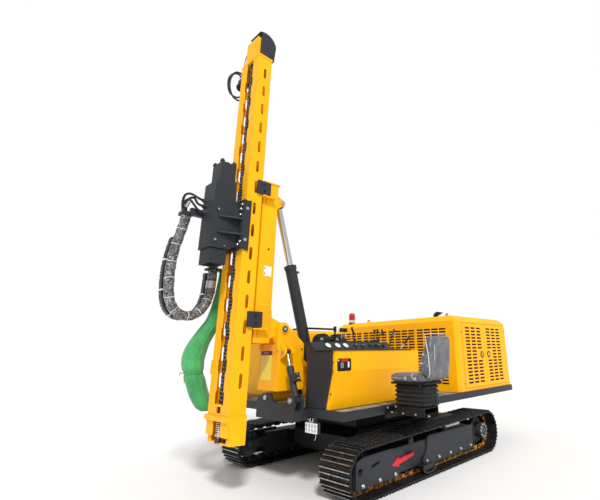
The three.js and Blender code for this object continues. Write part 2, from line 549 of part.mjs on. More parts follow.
const raiseSize = { eyeHalf: 58, eyeR: 66, boreR: RAISE.boreR, rodR: RAISE.rodR, length: RAISE.barrel, pinR: 30,
  headR: 62, headPinR: 26, slack: 0, rodLength: 1260 };
const raiseBase = [0, RAISE.baseY, RAISE.baseZ];
const raiseHead = [0, RAISE.rodY, RAISE.rodZ];
add('raise_cylinder_barrel', barrel(raiseBase, raiseHead, [1, 0, 0], raiseSize), GREY);
add('raise_cylinder_rod', rod(raiseBase, raiseHead, [1, 0, 0], raiseSize), CHROME);

// ---- guide beam ---------------------------------------------------------------------------
function guideBeam() {
  const { half, front, rear, bottom, top } = GUIDE;
  const column = less(box(-half, half, front, rear, bottom, top), box(-half + 14, half - 14, front + 14, rear - 14,
    bottom - 1, top - 14));
  const cap = box(-half - 10, half + 10, front - 4, rear + 20, top - 1, top + 14);
  const lugShape = [[rear - 5, bottom + 40], [FOLD.y - 40, FOLD.z - 56], ...ring(FOLD.y, FOLD.z, FOLD.bossR, -60, 90, 8),
    [rear + 40, FOLD.z + 120], [rear - 5, FOLD.z + 230]];
  const lugs = [-148, 108].map((x) => prismX(lugShape, x, x + 40));
  const brace = box(-148, 148, rear - 5, rear + 30, bottom + 40, FOLD.z + 200);
  const rodLug = (x) => prismX([[rear - 5, RAISE.rodZ - 150], [RAISE.rodY - 10, RAISE.rodZ - 50],
    ...ring(RAISE.rodY, RAISE.rodZ, 50, -50, 70, 5), [rear - 5, RAISE.rodZ + 90]], x, x + 26);
  const body = union(column, cap, ...lugs, brace, rodLug(-90), rodLug(64));
  return less(body, hole([-200, FOLD.y, FOLD.z], [200, FOLD.y, FOLD.z], FOLD.pinR + GAP, 20));
}
add('guide_beam', guideBeam(), YELLOW);

// Slide blocks: a crosspiece on the guide beam whose jaws grip the mast's rear flanges.
function guideBlock(z) {
  const reach = MAST.half + GAP;
  const outer = reach + 32;
  const top = z + 160;
  const bridge = box(-outer, outer, MAST.rear + GAP, GUIDE.front - GAP, z, top);
  const jaw = box(reach, outer, MAST.rear - 76, GUIDE.front + 60, z, top);
  const filler = box(GUIDE.half + GAP, outer, GUIDE.front - 1, GUIDE.front + 60, z, top);
  const side = union(jaw, filler);
  return union(bridge, side, mirror(side));
}
add('guide_block_upper', guideBlock(3085), GREY);
add('guide_block_lower', guideBlock(1585), GREY);

// ---- mast ---------------------------------------------------------------------------------
function mastColumn() {
  const { half, front, rear, bottom, top, wall, mouth } = MAST;
  const tube = less(box(-half, half, front, rear, bottom, top),
    box(-half + wall, half - wall, front + wall, rear - wall, bottom - 5, top + 5),
    box(-mouth / 2, mouth / 2, front - 5, front + wall + 1, bottom - 5, top + 5));
  const y = (front + rear) / 2 + 10;
  const w = SLOT.width / 2;
  const cuts = Array.from({ length: SLOT.count }, (_, i) => {
    const z = SLOT.first + i * SLOT.pitch;
    return prismX([[y, z - w], [y + w, z], [y + w, z + SLOT.height], [y, z + SLOT.height + w],
      [y - w, z + SLOT.height], [y - w, z]], -half - 5, half + 5);
  });
  const notches = Array.from({ length: 13 }, (_, i) => [-1, 1].map((side) => {
    const z = 820 + i * 310;
    const x = side * (mouth / 2 - 2);
    return prismY([[x, z], [x + side * 20, z + 24], [x + side * 20, z + 126], [x, z + 150]], front - 5, front + wall + 1);
  })).flat();
  return less(tube, ...cuts, ...notches);
}
add('mast_column', mastColumn(), YELLOW);

// Two cheeks whose front edges lean back, a collar round the mast, a rear wall and a floor, open at the front.
function mastFoot() {
  const { half, front, rear, bottom } = MAST;
  const out = half + 14;
  const profile = [[front - 26, 745], [front - 26, 730], [front + 36, 622], [front + 34, 489], [rear + 6, 480],
    [rear + 6, 745]];
  const cheeks = [-out, half + 1].map((x) => prismX(profile, x, x + 13));
  const collar = less(box(-out, out, front - 26, rear + 6, 700, 745),
    box(-half - GAP, half + GAP, front - GAP, rear + GAP, 690, 750));
  const wall = box(-out, out, rear + GAP, rear + 6, 480, 745);
  const floor = prismX([[front + 34, 489], [front + 34, 503], [rear + 6, 500], [rear + 6, 480]], -out, out);
  const web = prismY([[out - 90, 489], [out - 1, 489], [out - 1, 640], [out - 40, 600]], front + 34, front + 46);
  return less(union(...cheeks, collar, wall, floor, web, mirror(web)),
    box(-half - GAP, half + GAP, front - GAP, rear + GAP, bottom - GAP, 760));
}
add('mast_foot', mastFoot(), YELLOW);

function mastHead() {
  const { half, front, rear, top } = MAST;
  return union(less(box(-half - 4, half + 4, front - 4, rear + 4, top + GAP, top + 30),
    box(-70, 70, front + 30, rear - 30, top, top + 40)),
  box(-110, 150, front - 4, front + 40, top + 29, top + 330), box(-110, -60, front - 4, rear, top + 29, top + 250));
}
add('mast_head', mastHead(), YELLOW);
add('mast_top_cover', prismX([[MAST.front + 41, MAST.top + 30 + GAP], [MAST.rear + 40, MAST.top + 30 + GAP],
  ...ring(MAST.front + 90, MAST.top + 250, 160, -15, 125, 10), [MAST.front + 41, MAST.top + 380]], -58, 190), GREY);

add('feed_chain', union(box(-24, 24, MAST.front + 18, MAST.front + 40, MAST.bottom + 60, MAST.top - 20),
  box(-40, 40, MAST.front + 24, MAST.rear - MAST.wall - GAP, MAST.bottom + 60, MAST.bottom + 90),
  box(-40, 40, MAST.front + 24, MAST.rear - MAST.wall - GAP, MAST.top - 60, MAST.top - 30)), BLACK);

function feedMotor() {
  const y = (MAST.front + MAST.rear) / 2;
  const z = 4830;
  const x = -MAST.half - GAP;
  return union(bar([x, y, z], [x - 50, y, z], 80, 24), bar([x - 49, y, z], [x - 230, y, z], 58, 24),
    box(x - 210, x - 110, y - 40, y + 40, z + 40, z + 95));
}
add('feed_motor', feedMotor(), BLACK);

// Bracket on the mast's right side that holds the fixed end of the hose loop.
const LOOP = { x: -310, mastY: -2215, moveY: -2700 };
function hoseBracket() {
  const z = 2240;
  const x = -MAST.half - GAP;
  return less(union(box(x - 12, x, -2056, -1984, z - 60, z + 60), box(LOOP.x - 60, x - 11, -2056, -1990, z - 12, z + 12),
    box(LOOP.x - 60, -(MAST.half + 40), -2290, -2050, z - 12, z + 12)),
    bar([LOOP.x, LOOP.mastY, z - 40], [LOOP.x, LOOP.mastY, z + 40], 56, 20));
}
add('hose_bracket', hoseBracket(), GREY);

// Where the hose loop ends, under the hammer's clamp.
const HOSE_END = [-175, -2640, 2750];

// ---- hammer -------------------------------------------------------------------------------
function carriage() {
  const x = MAST.half + GAP;
  const front = MAST.front - GAP;
  const wings = [-1, 1].map((side) => {
    const wing = prismX([[front - 36, 2410], [MAST.front + 55, 2385], [MAST.front + 55, 2965], [front - 36, 2940]], 0, 22);
    return wing.translate([side > 0 ? x : -x - 22, 0, 0]);
  });
  const face = box(-x - 22, x + 22, front - 36, front, 2400, 2960);
  const shelves = [2545, 2722].flatMap((z) => [-1, 1].map((side) => {
    const plan = [[HAMMER.half - 2, HAMMER.front + 62], [HAMMER.half + 16, HAMMER.front + 62], [x + 22, front - 30],
      [x + 22, front - 8], [HAMMER.half - 2, front - 8]];
    return prismZ(side > 0 ? plan : plan.map(([u, v]) => [-u, v]).reverse(), z, z + 16);
  }));
  const back = box(-HAMMER.half, HAMMER.half, HAMMER.rear + GAP, front - 35, 2420, 2940);
  return less(union(face, back, ...wings, ...shelves),
    box(-HAMMER.half - GAP, HAMMER.half + GAP, HAMMER.front, HAMMER.rear + GAP, 2300, HAMMER.top + 10));
}
add('hammer_carriage', carriage(), GREY);

function hammerHousing() {
  const { half, front, rear, bottom, top } = HAMMER;
  const main = prismX([[front, bottom], [rear, bottom], [rear, top], [front + 40, top], [front, top - 40]], -half, half);
  const arm = box(HOSE_END[0] + 20, -half + 30, HOSE_END[1] + 20, front + 5, HOSE_END[2] + 2, HOSE_END[2] + 82);
  const clamp = box(HOSE_END[0] - 60, HOSE_END[0] + 60, HOSE_END[1] - 60, HOSE_END[1] + 60, HOSE_END[2], HOSE_END[2] + 40);
  return union(main, arm, clamp);
}
add('hammer_housing', hammerHousing(), GREY);
add('hammer_body', union(box(-105, 105, -2440, -2262, HAMMER.top + GAP, 3388), ...[-60, 60].map((x) =>
  bar([x, -2350, 3383], [x, -2350, 3414], 16, 6))), GREY);
add('pile_cap', less(box(-110, 110, -2475, -2285, 2220, HAMMER.bottom - GAP),
  box(-92, 92, -2457, -2303, 2210, 2268)), GREY);

// ---- soft parts ---------------------------------------------------------------------------
const HOSE = {
  radius: 55,
  points: [[-310, -2215, 2300], [-310, -2215, 2220], [-310, -2216, 2120], [-310, -2220, 2020], [-310, -2232, 1930],
    [-310, -2262, 1842], [-310, -2312, 1772], [-310, -2378, 1726], [-310, -2452, 1712], [-310, -2526, 1728],
    [-310, -2588, 1776], [-310, -2632, 1848], [-310, -2656, 1936], [-309, -2668, 2040], [-304, -2676, 2150],
    [-294, -2678, 2250], [-277, -2676, 2350], [-253, -2670, 2445], [-225, -2660, 2535], [-200, -2650, 2620],
    [-183, -2643, 2690], [HOSE_END[0], HOSE_END[1], HOSE_END[2] - 20], [HOSE_END[0], HOSE_END[1], HOSE_END[2] - GAP]],
};
function hoseLoop() {
  const curve = new THREE.CatmullRomCurve3(HOSE.points.map((p) => new THREE.Vector3(...p)));
  const shape = outline(ring(0, 0, HOSE.radius, 0, 315, 7));
  const tube = solid(new THREE.ExtrudeGeometry(shape, { steps: 28, extrudePath: curve, bevelEnabled: false }));
  return tube;
}
add('hose_loop', hoseLoop(), BLACK);

function hoseSleeve() {
  const rows = [[2228 - GAP, 42, -2092, -300], [2050, 52, -2090, -320], [1850, 58, -2092, -375], [1700, 64, -2100, -436],
    [1580, 74, -2150, -454], [1450, 88, -2230, -470], [1300, 96, -2290, -480], [1150, 94, -2290, -478],
    [1000, 82, -2230, -462], [860, 66, -2150, -442], [750, 44, -2095, -400]];
  const rings = rows.reverse().map(([z, r, y, x]) => ring(x, y, r, 0, 330, 11).map(([u, v]) => [u, v, z]));
  return loft(rings);
}
add('hose_sleeve', hoseSleeve(), GREEN);

// The origin stands at the middle of the whole machine's floor plan, on the ground.
function centre() {
  const bounds = new THREE.Box3();
  for (const mesh of group.children) {
    if (mesh.name !== 'hose_loop') bounds.expandByObject(mesh);
  }
  const middle = bounds.getCenter(new THREE.Vector3());
  group.position.set(-middle.x, -middle.y, -bounds.min.z);
  group.updateMatrixWorld(true);
}
centre();

export default group;
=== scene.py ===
"""Looks of a crawler pile driver rig: tracks, engine house, console and seat on a crawler deck,
a mast that tilts, folds and slides, and a hydraulic hammer that feeds along it.

Metres, +Z up. The machine faces -Y and its left side is +X.
"""
import json
from math import asin, copysign, cos, exp, pi, radians, sin, tau

import bmesh
import bpy
from mathutils import Matrix, Vector, noise

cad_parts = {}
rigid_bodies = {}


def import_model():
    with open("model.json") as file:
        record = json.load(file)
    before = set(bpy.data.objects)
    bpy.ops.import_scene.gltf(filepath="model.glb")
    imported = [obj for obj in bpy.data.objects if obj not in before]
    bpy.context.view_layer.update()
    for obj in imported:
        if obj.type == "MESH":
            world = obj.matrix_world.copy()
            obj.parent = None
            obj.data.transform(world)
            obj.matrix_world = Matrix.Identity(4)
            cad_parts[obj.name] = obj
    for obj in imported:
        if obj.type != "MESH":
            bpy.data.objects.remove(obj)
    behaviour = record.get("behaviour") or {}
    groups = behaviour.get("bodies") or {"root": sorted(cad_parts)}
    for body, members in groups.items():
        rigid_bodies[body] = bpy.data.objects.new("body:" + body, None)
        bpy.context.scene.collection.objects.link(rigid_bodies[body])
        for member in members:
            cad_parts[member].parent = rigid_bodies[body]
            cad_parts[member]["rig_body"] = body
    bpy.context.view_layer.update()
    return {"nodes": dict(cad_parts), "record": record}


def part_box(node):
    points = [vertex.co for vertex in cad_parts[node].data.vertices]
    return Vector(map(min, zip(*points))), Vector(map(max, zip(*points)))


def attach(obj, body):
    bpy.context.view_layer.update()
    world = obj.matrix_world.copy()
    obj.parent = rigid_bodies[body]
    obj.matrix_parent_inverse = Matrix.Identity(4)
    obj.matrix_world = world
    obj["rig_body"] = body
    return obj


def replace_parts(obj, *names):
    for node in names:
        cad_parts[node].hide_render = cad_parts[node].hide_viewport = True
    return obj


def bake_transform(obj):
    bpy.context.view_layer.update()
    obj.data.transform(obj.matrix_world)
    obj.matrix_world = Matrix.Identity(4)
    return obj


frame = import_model()

X, Y, Z = Vector((1, 0, 0)), Vector((0, 1, 0)), Vector((0, 0, 1))
SIDES = {"left": 1, "right": -1}

# ---- the machine's own frame ----------------------------------------------------------------
# x to the left from the centre line, y to the rear from the middle of the tracks, z up.
MAST_LO, MAST_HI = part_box("mast_column")
TRACK_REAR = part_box("track_left")[1].y
REAR_WHEEL, FRONT_WHEEL = 0.258, 0.236      # outer radii of the two ends of a track
REAR_AXLE, FRONT_AXLE = 1.215, -1.238
ORIGIN = Vector(((MAST_LO.x + MAST_HI.x) / 2, TRACK_REAR - REAR_WHEEL - REAR_AXLE, 0))


def spot(x, y, z):
    """A point in the machine's frame."""
    return ORIGIN + Vector((x, y, z))


def turns(count):
    """Angles in equal steps round a circle."""
    return [tau * i / count for i in range(count)]


def placed(point):
    """A plain (x, y, z) is in the machine's frame; a Vector is already placed."""
    return spot(*point) if isinstance(point, tuple) else point


def linked(name, data):
    """A new object in the scene."""
    made = bpy.data.objects.new(name, data)
    bpy.context.scene.collection.objects.link(made)
    return made


# ---- camera, light and floor ----------------------------------------------------------------
EYE = spot(3.935, -4.203, 1.314)
TURN, RISE, ROLL = (radians(a) for a in (42.063, 17.374, -0.966))
LENS_MM, SENSOR_MM = 23.16, 36
SHIFT = (-0.120, -0.031)         # how far the frame is moved across the lens


def camera():
    """The camera at the machine's left front, low down."""
    ahead = Vector((-sin(TURN) * cos(RISE), cos(TURN) * cos(RISE), sin(RISE)))
    right = Vector((cos(TURN), sin(TURN), 0))
    up = right.cross(ahead)
    right, up = right * cos(ROLL) + up * sin(ROLL), up * cos(ROLL) - right * sin(ROLL)
    data = bpy.data.cameras.new("camera")
    data.lens, data.sensor_width = LENS_MM, SENSOR_MM
    data.shift_x, data.shift_y = SHIFT
    data.clip_end = 200
    made = linked("camera", data)
    made.matrix_world = Matrix.Translation(EYE) @ Matrix((right, up, -ahead)).transposed().to_4x4()
    bpy.context.scene.camera = made


SUN_WAY = Vector((0.62, -0.42, 0.68))        # towards the sun
SUN_STRENGTH, SUN_DEGREES = 2.5, 9
SKY_STRENGTH = 0.66                          # on the machine; the camera sees plain white


def lamps():
    """One sun."""
    data = bpy.data.lights.new("sun", "SUN")
    data.energy, data.angle = SUN_STRENGTH, radians(SUN_DEGREES)
    made = linked("sun", data)
    made.rotation_mode = "QUATERNION"
    made.rotation_quaternion = SUN_WAY.to_track_quat("Z", "Y")


# ---- materials ------------------------------------------------------------------------------
def linear(code):
    """An sRGB hex colour as the linear values that a shader takes."""
    parts = [int(code[i:i + 2], 16) / 255 for i in (0, 2, 4)]
    return (*(c / 12.92 if c <= 0.04045 else ((c + 0.055) / 1.055) ** 2.4 for c in parts), 1.0)


def add_node(tree, kind, inputs=None, **settings):
    """Adds a node, sets it up, and fills its inputs with values or with other nodes' outputs."""
    made = tree.nodes.new(kind)
    for name, value in settings.items():
        setattr(made, name, value)
    for name, value in (inputs or {}).items():
        if isinstance(value, bpy.types.NodeSocket):
            tree.links.new(value, made.inputs[name])
        else:
            made.inputs[name].default_value = value
    return made


def blank(name, colour, roughness, metallic=0.0, **sockets):
    """A material with its plain values on the shader, and the node tree to build on."""
    material = bpy.data.materials.new(name)
    material.use_nodes = True
    tree = material.node_tree
    shader = tree.nodes["Principled BSDF"]
    values = {"Base Color": linear(colour), "Roughness": roughness, "Metallic": metallic}
    values.update({k.replace("_", " "): v for k, v in sockets.items()})
    for socket, value in values.items():
        shader.inputs[socket].default_value = value
    place = add_node(tree, "ShaderNodeTexCoord").outputs["Object"]
    return material, tree, shader, place


def relief(tree, shader, height, strength, depth):
    """Bumps the shader's normal by a height, depth in metres."""
    bump = add_node(tree, "ShaderNodeBump", {"Height": height, "Strength": strength, "Distance": depth})
    tree.links.new(bump.outputs["Normal"], shader.inputs["Normal"])


def rough_skin(tree, shader, place, grain_mm, depth_mm, strength=0.5, detail=3.0):
    """Fine relief of a given grain, as paint, rubber or cast metal has."""
    grain = add_node(tree, "ShaderNodeTexNoise",
                     {"Vector": place, "Scale": 1000 / grain_mm, "Detail": detail})
    relief(tree, shader, grain.outputs["Fac"], strength, depth_mm / 1000)


def clouded(tree, shader, place, colours, patch_mm, stops=(0.35, 0.65), detail=4.0):
    """Base colour that drifts between two tones in patches of a given size."""
    patches = add_node(tree, "ShaderNodeTexNoise",
                       {"Vector": place, "Scale": 1000 / patch_mm, "Detail": detail})
    tones = add_node(tree, "ShaderNodeValToRGB", {"Fac": patches.outputs["Fac"]})
    for element, stop, colour in zip(tones.color_ramp.elements, stops, colours):
        element.position, element.color = stop, linear(colour)
    tree.links.new(tones.outputs["Color"], shader.inputs["Base Color"])


def finish(name, colour, roughness, metallic=0.0, clouds=None, skin=None, **sockets):
    """A material from its plain values, its drift of tone and its fine relief."""
    material, tree, shader, place = blank(name, colour, roughness, metallic, **sockets)
    if clouds:
        clouded(tree, shader, place, *clouds)
    if skin:
        rough_skin(tree, shader, place, *skin)
    return material


def enamel(name, tones, roughness, coat):
    """Stoved enamel on sheet steel: glossy over a faint orange peel, its tone drifting a little."""
    return finish(name, tones[0], roughness, 0.0, (tones, 700), (14, 0.6, 0.12), Coat_Weight=coat,
                  Coat_Roughness=0.1, Specular_IOR_Level=0.25)


def worn_deck_paint():
    """Grey deck paint that boots have rubbed to a dusty tan."""
    return finish("worn_deck_paint", "8B857B", 0.75, 0.0, (("57544F", "A39A8C"), 160, (0.38, 0.62), 8),
                  (9, 1.0, 0.5))


def track_steel():
    """Rolled shoe steel, blackened, with a brown bloom of rust and dry mud in patches."""
    return finish("track_steel", "2B2B2D", 0.5, 0.55, (("1F1F21", "3B3531"), 60, (0.4, 0.75), 6),
                  (7, 1.2, 0.5))


def worn_steel():
    """The bright edge that the ground rubs on a track shoe: scratched bare steel."""
    return finish("worn_steel", "A9A8A6", 0.38, 0.9, (("6E6C6A", "C9C7C4"), 18, (0.35, 0.6), 6),
                  (4, 0.8, 0.5))


def link_paint():
    """Yellow-orange paint on forged track links, rubbed through to dark metal."""
    return finish("link_paint", "C77A12", 0.55, 0.0, (("241C14", "D98A16"), 45, (0.42, 0.56), 5),
                  (8, 1.0, 0.5))


def cast_iron():
    """Oiled cast iron with its sand-mould grain."""
    return finish("cast_iron", "55565A", 0.48, 0.75, (("3E3F42", "67686C"), 50), (5, 1.0, 0.45))


def hard_chrome():
    """Ground and hard-chromed cylinder rod: a mirror with a very fine oil film."""
    return finish("hard_chrome", "D9DADC", 0.13, 1.0, None, (20, 0.2, 0.08))


def bright_zinc():
    """Bright zinc plate on bolts and fittings, with a slight mottle."""
    return finish("bright_zinc", "C9CACB", 0.3, 0.9, None, (3, 0.4, 0.3))


def yellow_brass():
    """Turned brass fittings, lightly tarnished."""
    return finish("yellow_brass", "B98A3C", 0.32, 1.0, (("8B6427", "D2A552"), 15))


def black_rubber():
    """Moulded nitrile rubber: matt black with a fine skin."""
    return finish("black_rubber", "19191A", 0.58, 0.0, (("131314", "232324"), 60), (3, 0.5, 0.4))


def nylon():
    """Moulded black nylon of knobs, gauges and the drag chain: a soft sheen."""
    return finish("nylon", "151516", 0.36, 0.0, None, (2, 0.3, 0.25))


def seat_vinyl():
    """Leather-grained charcoal vinyl."""
    material, tree, shader, place = blank("seat_vinyl", "4A4B50", 0.5, Sheen_Weight=0.15)
    clouded(tree, shader, place, ("3B3C41", "55565C"), 90)
    cells = add_node(tree, "ShaderNodeTexVoronoi", {"Vector": place, "Scale": 1000 / 6})
    relief(tree, shader, cells.outputs["Distance"], 0.35, 0.0008)
    return material


def clear_film():
    """Thin clear polythene wrap: nearly invisible, with a few long white glints along its folds."""
    material, tree, shader, place = blank("clear_film", "C9CDD2", 0.16, Coat_Weight=0.4, Coat_Roughness=0.08)
    stretched = add_node(tree, "ShaderNodeMapping", {"Vector": place, "Scale": (1.0, 1.0, 0.22),
                                                     "Rotation": (0.12, 0.10, 0.0)})
    folds = add_node(tree, "ShaderNodeTexNoise", {"Vector": stretched.outputs["Vector"], "Scale": 1000 / 120,
                                                  "Detail": 2, "Distortion": 0.6})
    creases = add_node(tree, "ShaderNodeMath", {0: folds.outputs["Fac"], 1: 0.5}, operation="SUBTRACT")
    near = add_node(tree, "ShaderNodeMath", {0: creases.outputs[0]}, operation="ABSOLUTE")
    cover = add_node(tree, "ShaderNodeMapRange",
                     {"Value": near.outputs[0], "From Min": 0.0, "From Max": 0.020, "To Min": 0.42,
                      "To Max": 0.10})
    tree.links.new(cover.outputs["Result"], shader.inputs["Alpha"])
    relief(tree, shader, folds.outputs["Fac"], 0.6, 0.02)
    return material


def film_fold_glint():
    """The same film where it lies double in a fold, drawn milky white: a little from the doubled film, mostly
    a painted highlight along the fold.
    """
    return finish("film_fold_glint", "D8DADC", 0.25, 0.0, None, (12, 1.0, 0.4), Coat_Weight=0.4, Coat_Roughness=0.1,
                  Alpha=0.8)


def crinkled_wrap():
    """Black hoses under crinkled clear film: pale flecks of glare over dark rubber."""
    material, tree, shader, place = blank("crinkled_wrap", "3A3B3E", 0.3, Coat_Weight=0.5,
                                          Coat_Roughness=0.15)
    cells = add_node(tree, "ShaderNodeTexNoise", {"Vector": place, "Scale": 1000 / 26, "Detail": 5,
                                                  "Distortion": 1.5, "Roughness": 0.6})
    tones = add_node(tree, "ShaderNodeValToRGB", {"Fac": cells.outputs["Fac"]})
    ramp = tones.color_ramp
    ramp.elements[0].position, ramp.elements[0].color = 0.40, linear("232427")
    ramp.elements[1].position, ramp.elements[1].color = 0.66, linear("C4C7CB")
    middle = ramp.elements.new(0.53)
    middle.color = linear("5B5D61")
    tree.links.new(tones.outputs["Color"], shader.inputs["Base Color"])
    relief(tree, shader, cells.outputs["Fac"], 0.9, 0.012)
    return material


def green_canvas():
    """Plain-woven polyester canvas, dyed green. The 1 mm weave is drawn at 4 mm so that it shows."""
    material, tree, shader, place = blank("green_canvas", "3C9A52", 0.78, Sheen_Weight=0.3)
    clouded(tree, shader, place, ("2C8546", "46A75E"), 220)
    warp, weft = (add_node(tree, "ShaderNodeTexWave",
                           {"Vector": place, "Scale": 1000 / 4 / 6.28, "Distortion": 0.6},
                           bands_direction=way) for way in "ZX")
    weave = add_node(tree, "ShaderNodeMath", {0: warp.outputs["Fac"], 1: weft.outputs["Fac"]},
                     operation="ADD")
    relief(tree, shader, weave.outputs[0], 0.25, 0.001)
    return material


def lens(name, colour, clear):
    """Moulded acrylic lens, clear or dyed, with light passing a little."""
    return finish(name, colour, 0.08, 0.0, None, (12, 0.5, 0.3), IOR=1.49, Transmission_Weight=clear,
                  Coat_Weight=0.5, Coat_Roughness=0.05)


def flat_print(name, colour):
    """Screen-printed vinyl label or gloss stripe."""
    return finish(name, colour, 0.35, 0.0, None, (10, 0.2, 0.1))


def painted_hollow_shade():
    """A very dark brown sheet behind the louvre slots, the mast foot's window and a hole in the guide beam:
    painted shade of the hollows behind them.
    """
    return finish("painted_hollow_shade", "2E0C02", 0.95, 0.0, None, (6, 1.5, 0.6))


YELLOW = enamel("yellow_enamel", ("FFB200", "FFBA00"), 0.45, 0.03)
GREY = enamel("dark_grey_enamel", ("2A2D31", "32353A"), 0.5, 0.05)
BLACK = enamel("black_enamel", ("0C0C0D", "141415"), 0.5, 0.05)
DECK_TOP = worn_deck_paint()
SHOE = track_steel()
RUBBED = worn_steel()
LINK = link_paint()
IRON = cast_iron()
CHROME = hard_chrome()
ZINC = bright_zinc()
BRASS = yellow_brass()
RUBBER = black_rubber()
NYLON = nylon()
VINYL = seat_vinyl()
FILM = clear_film()
GLINT_FOLD = film_fold_glint()
WRAP = crinkled_wrap()
CANVAS = green_canvas()
RED_LENS = lens("red_lens", "C8101C", 0.25)
CLEAR_LENS = lens("clear_lens", "E8EBEE", 0.5)
WHITE = flat_print("white_print", "E9E9E6")
RED = flat_print("red_paint", "D3142A")
LEMON = flat_print("lemon_print", "F4E04A")
BLACK_PRINT = flat_print("black_print", "141415")
HOLLOW_SHADE = painted_hollow_shade()


# ---- building pieces ------------------------------------------------------------------------
class Piece:
    """Gathers solids into one mesh, each with its material."""

    def __init__(self, name):
        self.name, self.mesh, self.materials = name, bmesh.new(), []

    def paint(self, faces, material, smooth=False):
        """Gives faces a material, flat or smooth."""
        if material not in self.materials:
            self.materials.append(material)
        for face in faces:
            face.material_index = self.materials.index(material)
            face.smooth = smooth

    def loft(self, rings, material, smooth=False, caps=True, closed=False):
        """A skin through rings of points, capped unless it closes on itself."""
        rows = [[self.mesh.verts.new(p) for p in ring] for ring in rings]
        if closed:
            rows.append(rows[0])
        sides = len(rows[0])
        faces = [self.mesh.faces.new((low[i], low[(i + 1) % sides], high[(i + 1) % sides], high[i]))
                 for low, high in zip(rows, rows[1:]) for i in range(sides)]
        self.paint(faces, material, smooth)
        if caps and not closed:
            self.paint([self.mesh.faces.new(rows[0][::-1]), self.mesh.faces.new(rows[-1])], material)

    def box(self, low, high, material):
        """A block between two corners."""
        (x0, y0, z0), (x1, y1, z1) = placed(low), placed(high)
        self.loft([[(x0, y0, z), (x1, y0, z), (x1, y1, z), (x0, y1, z)] for z in (z0, z1)], material)

    def prism(self, outline, place, ends, material):
        """An outline carried along a line: place turns (u, v, w) into a point, ends are the two w."""
        self.loft([[place(u, v, w) for u, v in outline] for w in ends], material)

    def rod(self, a, b, radius, material, end=None, sides=20):
        """A round bar, or a cone when its far radius differs."""
        a, b = placed(a), placed(b)
        across = (b - a).orthogonal().normalized()
        other = (b - a).normalized().cross(across)
        self.loft([[p + (across * cos(t) + other * sin(t)) * r for t in turns(sides)]
                   for p, r in ((a, radius), (b, radius if end is None else end))], material, sides > 8)

    def tube(self, line, radius, material, sides=10):
        """A round tube along a line of points."""
        self.loft(tube_rings(line, radius, sides), material, True)

    def hoop(self, centre, way, radius, wire, material, sides=10, steps=28):
        """A ring of round wire about an axis."""
        way = Vector(way).normalized()
        across = way.orthogonal().normalized()
        other = way.cross(across)
        rings = []
        for t in turns(steps):
            out = across * cos(t) + other * sin(t)
            rings.append([placed(centre) + out * (radius + wire * cos(a)) + way * wire * sin(a)
                          for a in turns(sides)])
        self.loft(rings, material, True, closed=True)

    def bolt(self, at, way, size, material):
        """A hexagon head on a washer, size across its corners."""
        at, way = placed(at), Vector(way).normalized()
        self.rod(at, at + way * size * 0.12, size * 0.72, material, sides=16)
        self.rod(at + way * size * 0.12, at + way * size * 0.55, size * 0.5, material, sides=6)

    def bolts(self, a, b, count, way, size, material):
        """A row of bolts from a to b."""
        for i in range(count):
            self.bolt(placed(a).lerp(placed(b), i / max(1, count - 1)), way, size, material)

    def build(self, body, soften=0.0, slot=None, crease=35):
        """The finished object, its edges softened, riding on its body, or for the hose loop baked in place
        with no body.
        """
        bmesh.ops.recalc_face_normals(self.mesh, faces=self.mesh.faces)
        data = bpy.data.meshes.new(self.name)
        self.mesh.to_mesh(data)
        self.mesh.free()
        for material in self.materials:
            data.materials.append(material)
        made = linked(self.name, data)
        data.set_sharp_from_angle(angle=radians(crease))
        if soften:
            edge = made.modifiers.new("soft_edges", "BEVEL")
            edge.width, edge.segments, edge.angle_limit = soften, 2, radians(crease)
        if body == "loop":
            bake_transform(made)
        else:
            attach(made, body)
        return made


def tube_rings(line, radius, sides):
    """Rings of points round a line, turned as little as may be from one to the next."""
    line = [Vector(p) for p in line]
    ways = [(line[min(i + 1, len(line) - 1)] - line[max(i - 1, 0)]).normalized() for i in range(len(line))]
    across = ways[0].orthogonal().normalized()
    rings = []
    for i, (point, way) in enumerate(zip(line, ways)):
        across = (across - way * across.dot(way)).normalized()
        other = way.cross(across)
        wide = radius(i / (len(line) - 1)) if callable(radius) else radius
        rings.append([point + (across * cos(t) + other * sin(t)) * wide for t in turns(sides)])
    return rings


def curve_through(points, steps=6):
    """A smooth line through the points (Catmull-Rom)."""
    points = [Vector(p) for p in points]
    padded = [2 * points[0] - points[1], *points, 2 * points[-1] - points[-2]]
    line = []
    for a, b, c, d in zip(padded, padded[1:], padded[2:], padded[3:]):
        for i in range(steps):
            t = i / steps
            line.append(0.5 * (2 * b + (c - a) * t + (2 * a - 5 * b + 4 * c - d) * t * t
                               + (3 * b - a - 3 * c + d) * t ** 3))
    return [*line, points[-1]]


BODY_OF = {node: body for body, nodes in frame["record"]["behaviour"]["bodies"].items() for node in nodes}


def softened(node, material, width, slot=None, flat=1.0):
    """The CAD node's own shape with its sharp edges eased, standing for it."""
    source = frame["nodes"][node].data
    piece = Piece(node + "_shell")
    piece.mesh.from_mesh(source)
    bmesh.ops.remove_doubles(piece.mesh, verts=piece.mesh.verts, dist=1e-5)
    bmesh.ops.dissolve_limit(piece.mesh, angle_limit=radians(flat), verts=piece.mesh.verts,
                             edges=piece.mesh.edges)
    piece.paint(piece.mesh.faces, material)
    # A material may be called yellow_enamel.001, since the CAD's own materials have the plain names.
    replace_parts(piece.build(BODY_OF[node], width, slot or material.name.partition(".")[0], 28), node)


